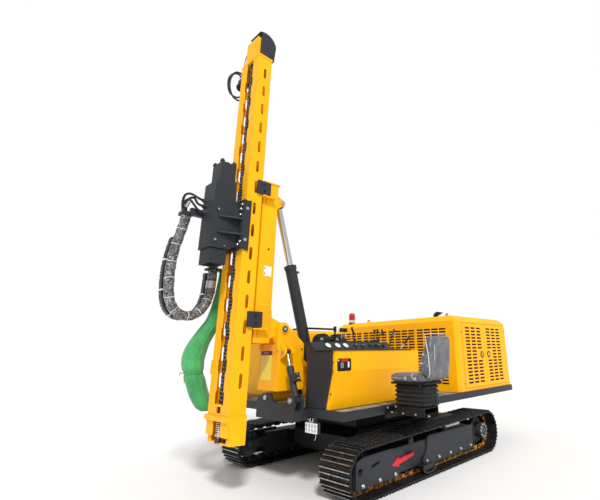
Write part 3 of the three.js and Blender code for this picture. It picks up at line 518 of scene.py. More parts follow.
# ---- cords ----------------------------------------------------------------------------------
LOOP_ROUTE = [(-0.310, -2.215, 2.300), (-0.310, -2.215, 2.220), (-0.310, -2.216, 2.120),
              (-0.310, -2.220, 2.020), (-0.310, -2.232, 1.930), (-0.310, -2.262, 1.842),
              (-0.310, -2.312, 1.772), (-0.310, -2.378, 1.726), (-0.310, -2.452, 1.712),
              (-0.310, -2.526, 1.728), (-0.310, -2.588, 1.776), (-0.310, -2.632, 1.848),
              (-0.310, -2.656, 1.936), (-0.309, -2.668, 2.040), (-0.304, -2.676, 2.150),
              (-0.294, -2.678, 2.250), (-0.277, -2.676, 2.350), (-0.253, -2.670, 2.445),
              (-0.225, -2.660, 2.535), (-0.200, -2.650, 2.620), (-0.183, -2.643, 2.690),
              (-0.175, -2.640, 2.730), (-0.175, -2.640, 2.7497)]
LOOP_WIDE = 0.100


def hose_bundle():
    """The hammer's hoses, wrapped as one bundle that hangs in a loop between mast and hammer."""
    line = curve_through([spot(*p) for p in LOOP_ROUTE], 5)
    piece = Piece("hose_bundle")
    crinkle = lambda t: LOOP_WIDE / 2 * (1 + 0.04 * sin(97 * t) + 0.03 * sin(211 * t + 1))
    piece.tube(line, crinkle, WRAP, 20)
    made = piece.build("loop", slot="hose_wrap")
    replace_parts(made, "hose_loop")
    ties = Piece("bundle_ties")
    for i in range(22, len(line) - 14, 9):
        way = (line[i + 1] - line[i - 1]).normalized() + X * 0.25 * sin(i)
        ties.hoop(line[i], way, LOOP_WIDE / 2, 0.0035, WHITE, 6, 20)
    ties.rod((-0.310, -2.222, 2.025), (-0.310, -2.219, 2.105), LOOP_WIDE / 2 + 0.004, ZINC, sides=32)
    ties.build("loop")


def hose(name, points, diameter, body, material, fittings=True):
    """A hydraulic hose clamped at both ends, with crimped end sleeves."""
    line = curve_through([spot(*p) for p in points], 6)
    piece = Piece(name)
    piece.tube(line, diameter / 2, material, 12)
    made = piece.build(body)
    ends = []
    if fittings:
        sleeves = Piece(name + "_ends")
        for a, b in ((line[0], line[2]), (line[-1], line[-3])):
            way = (b - a).normalized()
            sleeves.rod(a, a + way * diameter * 1.8, diameter * 0.62, ZINC, sides=16)
            sleeves.rod(a - way * diameter * 0.1, a + way * diameter * 0.5, diameter * 0.78, ZINC, sides=6)
        ends = [sleeves.build(body)]


# ---- tracks ---------------------------------------------------------------------------------
TRACK_MID = 0.940
SHOE_WIDE = 0.420
SHOES = 48
GROUSER, PLATE = 0.022, 0.010
GROUSERS = ((0.36, GROUSER), (0.0, GROUSER * 0.86), (-0.36, GROUSER * 0.86))     # place in the pitch, height
LEAN = 2 * asin((REAR_WHEEL - FRONT_WHEEL) / (REAR_AXLE - FRONT_AXLE))


def track_at(distance, inset):
    """The point, outward direction and travel direction a distance along a track, in (y, z)."""
    rear, front, top = REAR_WHEEL - inset, FRONT_WHEEL - inset, pi / 2 + LEAN
    on = lambda y, z, r, a: Vector((y + r * cos(a), z + r * sin(a)))
    runs = ((on(FRONT_AXLE, FRONT_WHEEL, front, -pi / 2), on(REAR_AXLE, REAR_WHEEL, rear, -pi / 2)),
            (on(REAR_AXLE, REAR_WHEEL, rear, top), on(FRONT_AXLE, FRONT_WHEEL, front, top)))
    arcs = ((REAR_AXLE, REAR_WHEEL, rear, -pi / 2, top), (FRONT_AXLE, FRONT_WHEEL, front, top, 1.5 * pi))
    for (a, b), (y, z, r, start, stop) in zip(runs, arcs):
        long = (b - a).length
        if distance <= long:
            way = (b - a) / long
            return a + way * distance, Vector((way.y, -way.x)), way
        distance -= long
        if distance <= r * (stop - start):
            t = start + distance / r
            return on(y, z, r, t), Vector((cos(t), sin(t))), Vector((-sin(t), cos(t)))
        distance -= r * (stop - start)
    return track_at(distance, inset)


def track_length(inset):
    """The length of a track loop, inset from the tips of its shoes."""
    rear, front, top = REAR_WHEEL - inset, FRONT_WHEEL - inset, pi / 2 + LEAN
    return 2 * (REAR_AXLE - FRONT_AXLE) + rear * (top + pi / 2) + front * (1.5 * pi - top)


def crawler_track(side):
    """Triple-grouser shoes bolted to a chain of forged links."""
    sign, depth = SIDES[side], GROUSER + PLATE
    total = track_length(depth)
    pitch = total / SHOES
    shoes, links = Piece(f"track_shoes_{side}"), Piece(f"track_links_{side}")
    lip = 0.006
    profile = [(-0.50, -PLATE), (0.47, -PLATE), (0.53, -PLATE - lip), (0.55, -lip), (0.47, 0)]
    for at, tall in GROUSERS:
        profile += [(at + 0.075, 0.001), (at + 0.035, tall), (at - 0.035, tall), (at - 0.075, 0.001)]
    profile += [(-0.50, 0)]
    half = SHOE_WIDE / 2
    body = [(-0.56, -0.030), (-0.50, -0.052), (-0.30, -0.060), (-0.14, -0.046), (0.10, -0.046),
            (0.28, -0.062), (0.50, -0.058), (0.58, -0.034), (0.44, -0.012), (-0.42, -0.012)]
    for i in range(SHOES):
        middle, out, way = track_at(total * (i + 0.5) / SHOES, depth)
        rests = lambda u, v, w: spot(sign * (TRACK_MID + w), *(middle + way * u * pitch + out * (v + PLATE)))
        shoes.prism(profile, rests, (-half, half), SHOE)
        for at, tall in GROUSERS:
            tall += 0.0008
            edge = [(at + 0.032, tall), (at - 0.032, tall), (at - 0.032, tall - 0.004),
                    (at + 0.032, tall - 0.004)]
            shoes.prism(edge, rests, (-half + 0.004, half - 0.004), RUBBED)
        for u in (-0.19, 0.17):
            for w in (-0.062, 0.062):
                shoes.bolt(rests(u, 0.0, w), rests(u, 1, w) - rests(u, 0, w), 0.022, SHOE)
        # The inboard link plates take the black shoe steel instead of link paint: painted shade of the dark
        # inner side of the track.
        for w, material in ((-0.064, SHOE), (0.044, LINK)):
            links.prism(body, rests, (w, w + 0.020), material)
        links.rod(rests(-0.4, -0.042, -0.072), rests(-0.4, -0.042, 0.072), 0.016, IRON, sides=12)
    made = shoes.build("chassis", 0, "track_steel")
    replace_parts(made, f"track_{side}")
    links.build("chassis", 0, "track_steel")


def track_frame_trim(side):
    """Bolts, travel arrow and drive cover of one track frame."""
    sign = SIDES[side]
    out = X * sign
    put = lambda x, y, z: spot(sign * x, y, z)
    piece = Piece(f"track_frame_trim_{side}")
    face = 1.060
    arrow = [(-0.78, 0.205), (-0.655, 0.262), (-0.655, 0.240), (-0.40, 0.270), (-0.40, 0.232),
             (-0.655, 0.196), (-0.655, 0.172)]
    piece.prism(arrow, lambda u, v, w: put(w, u, v), (face - 0.028, face + 0.0015), RED)
    piece.bolts(put(face, -1.20, 0.118), put(face, -0.72, 0.118), 3, out, 0.026, ZINC)
    piece.bolts(put(face - 0.01, -0.14, 0.130), put(face - 0.01, 0.86, 0.130), 5, out, 0.026, ZINC)
    piece.bolt(put(1.030, -0.50, 0.145), out, 0.024, GREY)
    for y in (-0.388, 0.298):
        piece.rod(put(1.010, y, 0.395), put(1.034, y, 0.395), 0.020, GREY)
        piece.bolt(put(1.030, y, 0.395), out, 0.020, NYLON)
    hub = put(1.066, REAR_AXLE, REAR_WHEEL)
    piece.rod(hub - out * 0.03, hub + out * 0.004, 0.094, IRON, sides=40)
    piece.rod(hub, hub + out * 0.016, 0.058, IRON, 0.050, sides=32)
    for turn in turns(10):
        piece.bolt(hub + Vector((0, cos(turn), sin(turn))) * 0.077 + out * 0.004, out, 0.018, ZINC)
    piece.rod(put(1.054, 0.955, 0.33), put(1.054, 0.955, 0.11), 0.009, GREY)
    hook = [put(1.10, -0.285, 0.092), put(1.115, -0.28, 0.055), put(1.115, -0.18, 0.038),
            put(1.115, -0.08, 0.055), put(1.10, -0.075, 0.092)]
    piece.tube(curve_through(hook), 0.011, GREY)
    piece.build("chassis", 0.0015)


# ---- deck -----------------------------------------------------------------------------------
DECK_TOP_Z = 0.768


def deck_plates():
    """Walked-on strips of the deck, with their seams."""
    piece = Piece("deck_plates")
    lift = 0.003
    for x0, x1, y0, y1 in ((0.868, 0.994, -1.396, -0.405), (0.868, 0.994, -0.398, 0.420),
                           (0.868, 0.994, 0.427, 0.772), (-0.462, 0.860, 0.062, 0.770),
                           (-1.445, -0.470, 0.650, 0.770), (-0.46, 0.338, -1.395, 0.055),
                           (-1.455, -0.477, -1.395, -1.010)):
        piece.box((x0, y0, DECK_TOP_Z), (x1, y1, DECK_TOP_Z + lift), DECK_TOP)
    piece.build("chassis", 0.001)


# ---- engine house ---------------------------------------------------------------------------
def slotted_sheet(piece, place, width, height, columns, rows, size, gone=()):
    """A sheet with rows of slots over a very dark backing, painted shade of the hollow behind them. place
    turns (u, v, w) into a point; columns and rows are the slots' middles, size is one slot's width and
    height, gone are slots left out."""
    thick, backing = 0.004, 0.0012
    wide, tall = size
    us = sorted({0.0, width, *(round(c + s * wide / 2, 5) for c in columns for s in (-1, 1))})
    vs = sorted({0.0, height, *(round(r + s * tall / 2, 5) for r in rows for s in (-1, 1))})
    open_cells = {(us.index(round(c - wide / 2, 5)), vs.index(round(r - tall / 2, 5)))
                  for i, c in enumerate(columns) for j, r in enumerate(rows) if (i, j) not in gone}
    grid = {(i, j, w): piece.mesh.verts.new(place(u, v, w))
            for i, u in enumerate(us) for j, v in enumerate(vs) for w in (0.0, thick)}
    wall = lambda a, b: piece.mesh.faces.new((grid[(*a, 0.0)], grid[(*b, 0.0)], grid[(*b, thick)],
                                              grid[(*a, thick)]))
    faces = []
    for i in range(len(us) - 1):
        for j in range(len(vs) - 1):
            corners = ((i, j), (i + 1, j), (i + 1, j + 1), (i, j + 1))
            if (i, j) in open_cells:
                faces += [wall(a, b) for a, b in zip(corners, (*corners[1:], corners[0]))]
            else:
                faces.append(piece.mesh.faces.new([grid[(*a, thick)] for a in corners]))
    edge = ([(i, 0) for i in range(len(us))] + [(len(us) - 1, j) for j in range(1, len(vs))]
            + [(i, len(vs) - 1) for i in range(len(us) - 2, -1, -1)]
            + [(0, j) for j in range(len(vs) - 2, 0, -1)])
    faces += [wall(a, b) for a, b in zip(edge, (*edge[1:], edge[0]))]
    piece.paint(faces, YELLOW)
    # The backing behind the slots is painted shade of the hollow inside.
    pad = wide / 2 + 0.004
    low, high = columns[0] - pad, columns[-1] + pad
    corners = ((low, rows[0] - tall), (high, rows[0] - tall), (high, rows[-1] + tall), (low, rows[-1] + tall))
    behind = [piece.mesh.verts.new(place(u, v, backing)) for u, v in corners]
    piece.paint([piece.mesh.faces.new(behind)], HOLLOW_SHADE)


HOUSE_LEFT, HOUSE_RIGHT, HOUSE_FRONT, HOUSE_REAR = 0.986, -1.440, 0.782, 2.430
HOUSE_TOP, HOUSE_BEVEL = 1.810, 0.080
LOUVRE = (0.112, 0.025)
LOUVRE_STEP = (0.1330, 0.0413)


def engine_house():
    """The house with its louvred front and rear sheets, roof eyes and bolts."""
    softened("engine_house", YELLOW, 0.006)
    skin = Piece("house_front_sheet")
    left, right = HOUSE_RIGHT + 0.008, HOUSE_LEFT - 0.012
    across, up = LOUVRE_STEP
    columns = sorted(0.783 - 0.561 * block - across * i - left for block in range(4) for i in range(4))
    bottom = DECK_TOP_Z + 0.004
    rows = [0.879 - bottom + up * i for i in range(19)]
    slotted_sheet(skin, lambda u, v, w: spot(left + u, HOUSE_FRONT - w, bottom + v), right - left,
                  HOUSE_TOP - HOUSE_BEVEL - DECK_TOP_Z - 0.006, columns, rows, LOUVRE)
    skin.bolts((-1.415, HOUSE_FRONT - 0.004, 0.80), (-1.415, HOUSE_FRONT - 0.004, 1.69), 4, -Y, 0.016, ZINC)
    skin.build("chassis", 0, "yellow_enamel")
    back = Piece("house_rear_sheet")
    slotted_sheet(back, lambda u, v, w: spot(-1.10 + u, HOUSE_REAR + w, 0.86 + v), 1.75, 0.84,
                  [0.077 + across * i for i in range(13)], [0.06 + up * i for i in range(18)], LOUVRE)
    back.build("chassis", 0, "yellow_enamel")
    trim = Piece("house_trim")
    for x in (-0.900, 0.728):
        trim.hoop((x, 1.030, HOUSE_TOP + 0.026), X, 0.026, 0.0095, BRASS)
    for y, z in ((0.981, 1.577), (0.960, 0.869), (2.404, 1.620), (2.404, 0.803)):
        trim.bolt((HOUSE_LEFT, min(y, 0.966) if y < 1 else y, z), X, 0.013, BLACK)
    trim.build("chassis", 0)


DOORS = {"front": (0.983, 1.643), "rear": (1.649, 2.309)}
DOOR_Z = (0.810, 1.706)


def side_door(side, end):
    """A louvred door with its ring lock and hinges."""
    softened(f"house_door_{side}_{end}", YELLOW, 0.003)
    y0, y1 = DOORS[end]
    face = HOUSE_LEFT if side == "left" else HOUSE_RIGHT
    sign = SIDES[side]
    piece = Piece(f"door_sheet_{side}_{end}")
    width, height = y1 - y0, DOOR_Z[1] - DOOR_Z[0]
    middles = [(0.157 if end == "front" else 0.151) + 0.172 * i for i in range(3)]
    lock_column = 2 if end == "front" else 0
    rows = [0.065 + 0.0478 * i for i in range(17)]
    gone = {(lock_column, j) for j in (7, 8, 9)}
    slotted_sheet(piece, lambda u, v, w: spot(face + sign * w, y0 + u, DOOR_Z[0] + v), width, height,
                  middles, rows, (0.129, 0.026), gone)
    lock = spot(face + sign * 0.004, y0 + (width - 0.104 if end == "front" else 0.108), 1.255)
    out = X * sign
    piece.rod(lock, lock + out * 0.006, 0.048, NYLON, sides=32)
    piece.rod(lock + out * 0.005, lock + out * 0.008, 0.030, YELLOW, sides=28)
    piece.hoop(lock + out * 0.006, X, 0.040, 0.006, NYLON)
    piece.rod(lock, lock + out * 0.016, 0.010, ZINC)
    hinge_u = 0.02 if end == "front" else width - 0.02
    for v in (0.09, height - 0.09):
        piece.bolts((face + sign * 0.004, y0 + hinge_u, DOOR_Z[0] + v - 0.02),
                    (face + sign * 0.004, y0 + hinge_u, DOOR_Z[0] + v + 0.02), 2, out, 0.010, ZINC)
    piece.build(f"door_{side}_{end}", 0, "yellow_enamel")


def beacon_and_exhaust():
    """The red beacon on its clear foot, and the exhaust."""
    low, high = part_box("beacon")
    middle = (low + high) / 2
    at = lambda z: Vector((middle.x, middle.y, low.z + z))
    piece = Piece("warning_beacon")
    piece.rod(at(0), at(0.020), 0.058, NYLON, sides=32)
    piece.rod(at(0.020), at(0.066), 0.055, CLEAR_LENS, sides=32)
    profile = [(0.055, 0.066), (0.056, 0.080), (0.055, 0.140), (0.051, 0.170), (0.036, 0.189), (0.004, 0.195)]
    piece.loft([[at(z) + Vector((cos(t), sin(t), 0)) * r for t in turns(32)] for r, z in profile],
               RED_LENS, True)
    for z in (0.095, 0.125):
        piece.hoop(at(z), Z, 0.0555, 0.0016, RED_LENS, 6, 32)
    made = piece.build("chassis", 0, "red_lens")
    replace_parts(made, "beacon")
    softened("exhaust_pipe", NYLON, 0.002, "black_enamel")


# ---- console and operator's seat -------------------------------------------------------------
PANEL = ((0.467, 1.433), (0.565, 1.348))     # (x, z) of the upper and lower edges of the sloping panel


def on_panel(t, y, lift=0.0):
    """A point on the sloping panel: t runs down it, lift stands off it."""
    (x0, z0), (x1, z1) = PANEL
    slope = Vector((x1 - x0, 0, z1 - z0)).normalized()
    up = Vector((-slope.z, 0, slope.x))
    return spot(x0 + (x1 - x0) * t, y, z0 + (z1 - z0) * t) + up * lift


def console():
    """The console with its gauges, knobs, switch plate, air filters and handrail."""
    for node, material, width in (("cabinet", YELLOW, 0.006), ("post", GREY, 0.006), ("panel", GREY, 0.002)):
        softened(f"console_{node}", material, width)
    trim = Piece("console_trim")
    up = on_panel(0.5, 0, 1) - on_panel(0.5, 0, 0)
    for y in (-1.187, -1.041, -0.914):
        at = on_panel(0.5, y)
        trim.rod(at, at + up * 0.008, 0.041, NYLON, sides=32)
        trim.rod(at + up * 0.007, at + up * 0.0095, 0.036, WHITE, sides=32)
        pointer = (on_panel(0.7, y) - at).normalized() + Y * 0.6
        trim.rod(at + up * 0.0105, at + up * 0.0105 + pointer.normalized() * 0.022, 0.0014, BLACK_PRINT,
                 sides=6)
    for i, y in enumerate((-0.743, -0.626, -0.493, -0.398, -0.330, -0.243)):
        at = on_panel(0.5 + 0.06 * (i % 2), y)
        trim.rod(at, at + up * 0.006, 0.030, NYLON, sides=24)
        trim.hoop(at + up * 0.007, up, 0.024, 0.004, NYLON, 8, 24)
        trim.rod(at + up * 0.006, at + up * 0.024, 0.010, (ZINC, ZINC, IRON, NYLON, ZINC, NYLON)[i], 0.008,
                 sides=16)
    for i in range(7):
        trim.rod(on_panel(0.88, -0.86 + 0.095 * i), on_panel(0.88, -0.86 + 0.095 * i, 0.007), 0.006, NYLON,
                 sides=12)
    for x, z in ((0.838, 1.220), (0.834, 1.127), (0.812, 0.918)):
        trim.bolt((x, -1.400, z), -Y, 0.013, BLACK)
    face = 0.860
    low, high, foot, top = -1.360, -1.161, 1.132, 1.257
    cut = 0.012
    plate = [(low, foot + cut), (low + cut, foot), (high - cut, foot), (high, foot + cut), (high, top - cut),
             (high - cut, top), (low + cut, top), (low, top - cut)]
    trim.prism(plate, lambda u, v, w: spot(w, u, v), (face, face + 0.002), BLACK_PRINT)
    for y0, y1, z0, z1, material in ((-1.306, -1.207, 1.225, 1.252, RED),
                                     (-1.313, -1.268, 1.163, 1.217, ZINC),
                                     (-1.211, -1.188, 1.166, 1.223, WHITE),
                                     (-1.352, -1.334, 1.232, 1.246, WHITE)):
        trim.box((face + 0.0015, y0, z0), (face + 0.0028, y1, z1), material)
    trim.build("chassis", 0.0008)
    filters = Piece("air_filters")
    for y in (-1.040, -0.790):
        at = spot(0.235, y, 1.440)
        filters.rod(at + X * -0.07, at + X * 0.055, 0.092, NYLON, sides=36)
        filters.rod(at + X * 0.055, at + X * 0.080, 0.080, NYLON, 0.050, sides=36)
        for turn in turns(18):
            out = Vector((0, cos(turn), sin(turn)))
            filters.rod(at + out * 0.094 + X * -0.065, at + out * 0.094 + X * 0.055, 0.006, NYLON, sides=8)
        filters.box(at + Vector((-0.03, -0.03, -0.665)), at + Vector((0.03, 0.03, -0.08)), BLACK)
    filters.build("chassis", 0.002)
    low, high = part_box("handrail")
    rail = Piece("rail")
    x, top, wire = (low.x + high.x) / 2, high.z - 0.011, 0.011
    for y in (low.y + wire, high.y - wire):
        rail.rod(Vector((x, y, low.z)), Vector((x, y, high.z)), wire, BLACK)
    rail.rod(Vector((x, low.y, top)), Vector((x, high.y, top)), wire, BLACK)
    rail.rod(Vector((x, high.y - wire, top - 0.028)), Vector((x, high.y - wire, top + 0.034)), 0.019, NYLON)
    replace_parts(rail.build("chassis", 0, "black_enamel"), "handrail")


# Each lever's foot y, tip y, tip z and kind of grip.
LEVERS = ((-0.868, -0.868, 1.600, "block"), (-0.803, -0.803, 1.600, "block"), (-0.640, -0.688, 1.618, "grip"),
          (-0.275, -0.269, 1.606, "ball"), (-0.222, -0.211, 1.612, "ball"), (-0.205, -0.116, 1.606, "grip"))


def control_levers():
    """A bank of valve levers with rubber boots, and two longer ones behind it."""
    x, bank = 0.400, 1.440
    piece = Piece("levers")
    piece.box((0.377, -0.928, 1.4335), (0.423, -0.202, 1.446), NYLON)
    round_at = lambda at, rows: [[at + Z * h + Vector((cos(a), sin(a), 0)) * r for a in turns(16)]
                                 for r, h in rows]
    for foot_y, tip_y, tall, grip in LEVERS:
        foot, tip = spot(x, foot_y, bank), spot(x, tip_y, tall)
        piece.loft(round_at(foot, ((0.021, 0.004), (0.021, 0.012), (0.014, 0.018), (0.016, 0.024),
                                   (0.010, 0.032), (0.006, 0.044))), RUBBER, True)
        piece.rod(foot, tip + Z * -0.02, 0.0055, ZINC if grip == "block" else BLACK, sides=12)
        if grip == "block":
            piece.box(tip + Vector((-0.014, -0.019, -0.046)), tip + Vector((0.014, 0.019, 0.0)), NYLON)
        elif grip == "grip":
            piece.tube(curve_through([tip + Vector((0, 0.030, -0.075)), tip + Vector((0, 0.012, -0.045)),
                                      tip + Vector((0, -0.004, -0.018)), tip]), 0.013, NYLON, 14)
        else:
            piece.loft(round_at(tip, ((0.007, -0.040), (0.015, -0.030), (0.017, -0.014), (0.012, -0.002))),
                       NYLON, True)
    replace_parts(piece.build("chassis", 0, "black_enamel"), "control_levers")
    long_ones = Piece("long_levers")
    foot, tip = spot(0.400, -0.010, 1.3355), spot(0.400, 0.148, 1.612)
    long_ones.loft(round_at(foot, ((0.034, 0.0), (0.034, 0.016), (0.018, 0.050), (0.012, 0.090))), RUBBER,
                   True)
    long_ones.rod(foot, tip, 0.008, BLACK)
    long_ones.rod(tip + (foot - tip) * 0.34, tip, 0.015, NYLON, 0.018)
    foot, tip = spot(0.550, 0.046, 1.317), spot(0.550, 0.300, 1.521)
    long_ones.rod(foot, tip, 0.009, CHROME)
    long_ones.rod(tip + (foot - tip) * 0.52, tip, 0.013, NYLON, 0.015)
    long_ones.rod(foot + Vector((0, -0.004, -0.02)), foot + Vector((0, 0.010, 0.012)), 0.020, NYLON, sides=20)
    long_ones.build("chassis", 0)


def rounded_block(name, rings, material, body, slot):
    """A smooth closed form through rings, subdivided."""
    piece = Piece(name)
    piece.loft(rings, material, True)
    made = piece.build(body, 0, slot, 180)
    smooth = made.modifiers.new("smooth", "SUBSURF")
    smooth.levels = smooth.render_levels = 2
    return made


def apply_modifiers(made):
    """Bakes the modifiers into the mesh."""
    graph = bpy.context.evaluated_depsgraph_get()
    data = bpy.data.meshes.new_from_object(made.evaluated_get(graph))
    made.modifiers.clear()
    made.data = data


def inflate(made, reach, pressure=4.0, frames=14):
    """Swells a pad as stuffed cloth does, holding each point within reach of where it was."""
    apply_modifiers(made)
    before = [v.co.copy() for v in made.data.vertices]
    cloth = made.modifiers.new("cloth", "CLOTH")
    cloth.settings.use_pressure, cloth.settings.uniform_pressure_force = True, pressure
    cloth.settings.effector_weights.gravity = 0
    cloth.settings.quality = 5
    cloth.settings.tension_stiffness = cloth.settings.compression_stiffness = 12
    for step in range(1, frames + 1):
        bpy.context.scene.frame_set(step)
    graph = bpy.context.evaluated_depsgraph_get()
    moved = [v.co.copy() for v in made.evaluated_get(graph).data.vertices]
    made.modifiers.clear()
    bpy.context.scene.frame_set(1)
    for vertex, old, new in zip(made.data.vertices, before, moved):
        step = new - old
        vertex.co = old + (step if step.length <= reach else step.normalized() * reach)


SEAT_Y = (-0.830, -0.430)


def pad_ring(middle, half_wide, half_thick, across, through, corner=0.35, count=20, hollow=0.0):
    """A rounded-rectangle ring of points about a middle, its front side hollowed if asked."""
    points = []
    for t in turns(count):
        c, s = cos(t), sin(t)
        u = copysign(abs(c) ** corner, c) * half_wide
        v = copysign(abs(s) ** corner, s) * half_thick
        if v < 0:
            v += hollow * max(0.0, 1 - 1.7 * (u / half_wide) ** 2)
        points.append(middle + across * u + through * v)
    return points


def seat():
    """Cushion and back, both swollen as stuffed pads are, under clear film."""
    y = (SEAT_Y[0] + SEAT_Y[1]) / 2
    half = (SEAT_Y[1] - SEAT_Y[0]) / 2 - 0.010
    rows = ((1.064, 1.050, 0.72, 0.018), (1.080, 1.053, 0.88, 0.032), (1.180, 1.052, 0.98, 0.036),
            (1.320, 1.047, 1.0, 0.034), (1.450, 1.050, 1.0, 0.036), (1.535, 1.052, 0.96, 0.030),
            (1.552, 1.052, 0.88, 0.018))
    rings = [pad_ring(spot(x, y, z), half * wide, thick, Y, Z) for x, z, wide, thick in rows]
    cushion = rounded_block("seat_cushion_pad", rings, VINYL, "chassis", "seat_vinyl")
    inflate(cushion, 0.012)
    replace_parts(cushion, "seat_cushion")
    rows = ((1.024, 1.583, 0.84, 0.016, 0.0), (1.050, 1.588, 0.96, 0.026, 0.0),
            (1.094, 1.590, 1.0, 0.036, 0.0), (1.112, 1.552, 1.0, 0.078, 0.070),
            (1.180, 1.562, 1.0, 0.082, 0.085), (1.280, 1.583, 0.99, 0.070, 0.070),
            (1.380, 1.606, 0.96, 0.056, 0.045), (1.450, 1.622, 0.92, 0.042, 0.020),
            (1.476, 1.630, 0.86, 0.026, 0.0))
    rings = [pad_ring(spot(x, y, z), half * wide, thick, Y, X, 0.35, 28, hollow)
             for z, x, wide, thick, hollow in rows]
    back = rounded_block("seat_back_pad", rings, VINYL, "chassis", "seat_vinyl")
    inflate(back, 0.010)
    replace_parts(back, "seat_backrest")
    film_over(back, "film_back", 0.008, back_folds(y, half))
    film_over(cushion, "film_cushion", 0.007, cushion_folds(y, half))
    seat_foot()


def fold(piece, points, radius):
    """A standing fold of the film: white where it doubles up, mostly a painted highlight along the fold."""
    line = curve_through([spot(*p) for p in points], 6)
    piece.tube(line, lambda t: radius * (0.35 + 0.65 * sin(pi * min(1, max(0, t))) ** 0.5), GLINT_FOLD, 8)


def back_folds(y, half):
    """The long folds down the backrest's edge and over its back."""
    piece = Piece("film_back_folds")
    side, rear = y - half - 0.006, 1.650
    fold(piece, [(1.580, side + 0.012, 1.478), (1.598, side, 1.400), (1.617, side, 1.280),
                 (1.622, side, 1.180), (1.624, side, 1.115), (1.604, side, 1.062)], 0.0055)
    fold(piece, [(1.640, side + 0.028, 1.470), (1.662, side + 0.050, 1.350), (1.655, side + 0.048, 1.200)],
         0.0025)
    fold(piece, [(1.574, side + 0.010, 1.478), (1.620, side + 0.060, 1.488), (1.636, y, 1.486),
                 (1.638, y + 0.12, 1.482)], 0.0040)
    for shift, top, bottom, bend in ((-0.10, 1.42, 1.16, 0.010), (-0.02, 1.40, 1.10, -0.012),
                                     (0.07, 1.43, 1.20, 0.008)):
        fold(piece, [(rear + 0.012, y + shift, top), (rear + 0.002, y + shift + bend, (top + bottom) / 2),
                     (rear - 0.008, y + shift + bend / 2, bottom)], 0.0016)
    return piece.build("chassis")


def cushion_folds(y, half):
    """The folds over the cushion's top and front edge."""
    piece = Piece("film_cushion_folds")
    side = y - half - 0.004
    fold(piece, [(1.330, y - 0.02, 1.094), (1.365, y - 0.10, 1.094), (1.395, side + 0.004, 1.078),
                 (1.425, side - 0.004, 1.035)], 0.0045)
    fold(piece, [(1.180, y, 1.094), (1.300, y - 0.05, 1.095), (1.420, y - 0.02, 1.094)], 0.0030)
    fold(piece, [(1.120, side, 1.060), (1.210, side - 0.004, 1.050), (1.300, side - 0.004, 1.058)], 0.0020)
    return piece.build("chassis")


def film_over(pad, name, reach, folds):
    """Clear wrap drawn round a pad, standing off it in folds, open along its bottom."""
    source = pad.data
    mesh = bmesh.new()
    mesh.from_mesh(source)
    mesh.normal_update()
    low = min(v.co.z for v in mesh.verts)
    for vertex in mesh.verts:
        p = vertex.co
        wave = (noise.noise(Vector((p.x * 14, p.y * 14, p.z * 4)))
                + 0.5 * noise.noise(Vector((p.x * 34, p.y * 34, p.z * 9))))
        vertex.co = p + vertex.normal * reach * (0.55 + 0.75 * max(-0.5, wave))
    doomed = [f for f in mesh.faces if f.calc_center_median().z < low + 0.020]
    bmesh.ops.delete(mesh, geom=doomed, context="FACES")
    data = bpy.data.meshes.new(name)
    mesh.to_mesh(data)
    area = sum(f.calc_area() for f in mesh.faces)
    mesh.free()
    data.materials.clear()
    data.materials.append(FILM)
    made = linked(name, data)
    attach(made, "chassis")


def seat_foot():
    """The sprung bellows under the seat, the bracket and their bolts."""
    low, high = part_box("seat_suspension")
    middle = (low + high) / 2
    bellows = Piece("seat_bellows")
    folds = 5
    tall = high.z - low.z - 0.024
    rings = []
    for i in range(folds * 4 + 1):
        h = tall * i / (folds * 4)
        out = (0.0, 0.014, 0.020, 0.006)[i % 4]
        wide, deep = (high.x - low.x) / 2 - 0.034 + out, (high.y - low.y) / 2 - 0.032 + out
        rings.append(pad_ring(Vector((middle.x, middle.y, low.z + h)), wide, deep, X, Y, 0.22, 40))
    bellows.loft(rings, RUBBER, True)
    bellows.box(Vector((low.x, low.y, high.z - 0.022)), Vector((high.x, high.y, high.z)), BLACK)
    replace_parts(bellows.build("chassis", 0.002, "bellows_rubber", 50), "seat_suspension")
    softened("seat_bracket", BLACK, 0.003)
    trim = Piece("seat_bolts")
    front = SEAT_Y[0]
    for x, y, z, size, material in (
            (1.558, front + 0.006, 1.284, 0.022, ZINC), (1.530, front + 0.006, 1.198, 0.022, ZINC),
            (1.318, front + 0.004, 1.050, 0.024, ZINC), (1.444, front + 0.004, 1.050, 0.024, ZINC),
            (1.470, -0.780, 0.985, 0.018, IRON)):
        trim.bolt((x, y, z), -Y, size, material)
    for x in (1.09, 1.24, 1.40, 1.56):
        trim.bolt((x, -0.785, 0.705), Z, 0.020, ZINC)
    trim.bolts((1.0205, -0.77, 0.745), (1.0205, -0.51, 0.745), 3, X, 0.018, ZINC)
    trim.build("chassis")


def work_light():
    """The lamp on the deck's front sill, with its lenses, bolts and wire."""
    low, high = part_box("work_light")
    softened("work_light", GREY, 0.003)
    at = lambda x, y, z: Vector((x, low.y + y, low.z + z))
    piece = Piece("work_light_face")
    x0, x1 = low.x + 0.005, high.x - 0.005
    piece.box(at(x0, -0.006, 0.005), at(x1, 0.002, 0.098), WHITE)
    for i in range(4):
        for j in range(2):
            lamp = at(x0 + (x1 - x0) * (i + 0.5) / 4, -0.0065, 0.012 + 0.082 * (j + 0.5) / 2)
            piece.rod(lamp, lamp + Y * -0.003, 0.017, CLEAR_LENS, sides=20)
    for x in (low.x + 0.060, low.x + 0.100):
        piece.bolt(at(x, 0.010, 0.104), Z, 0.022, ZINC)
        piece.rod(at(x, 0.008, 0.10), at(x + 0.012, 0.008, 0.140), 0.006, ZINC)
    wire = [at(high.x - 0.05, 0.020, 0.006), at(high.x - 0.045, 0.018, -0.03),
            at(high.x - 0.065, 0.02, -0.060)]
    piece.tube(curve_through(wire), 0.004, ZINC, 8)
    piece.build("chassis", 0.0008)


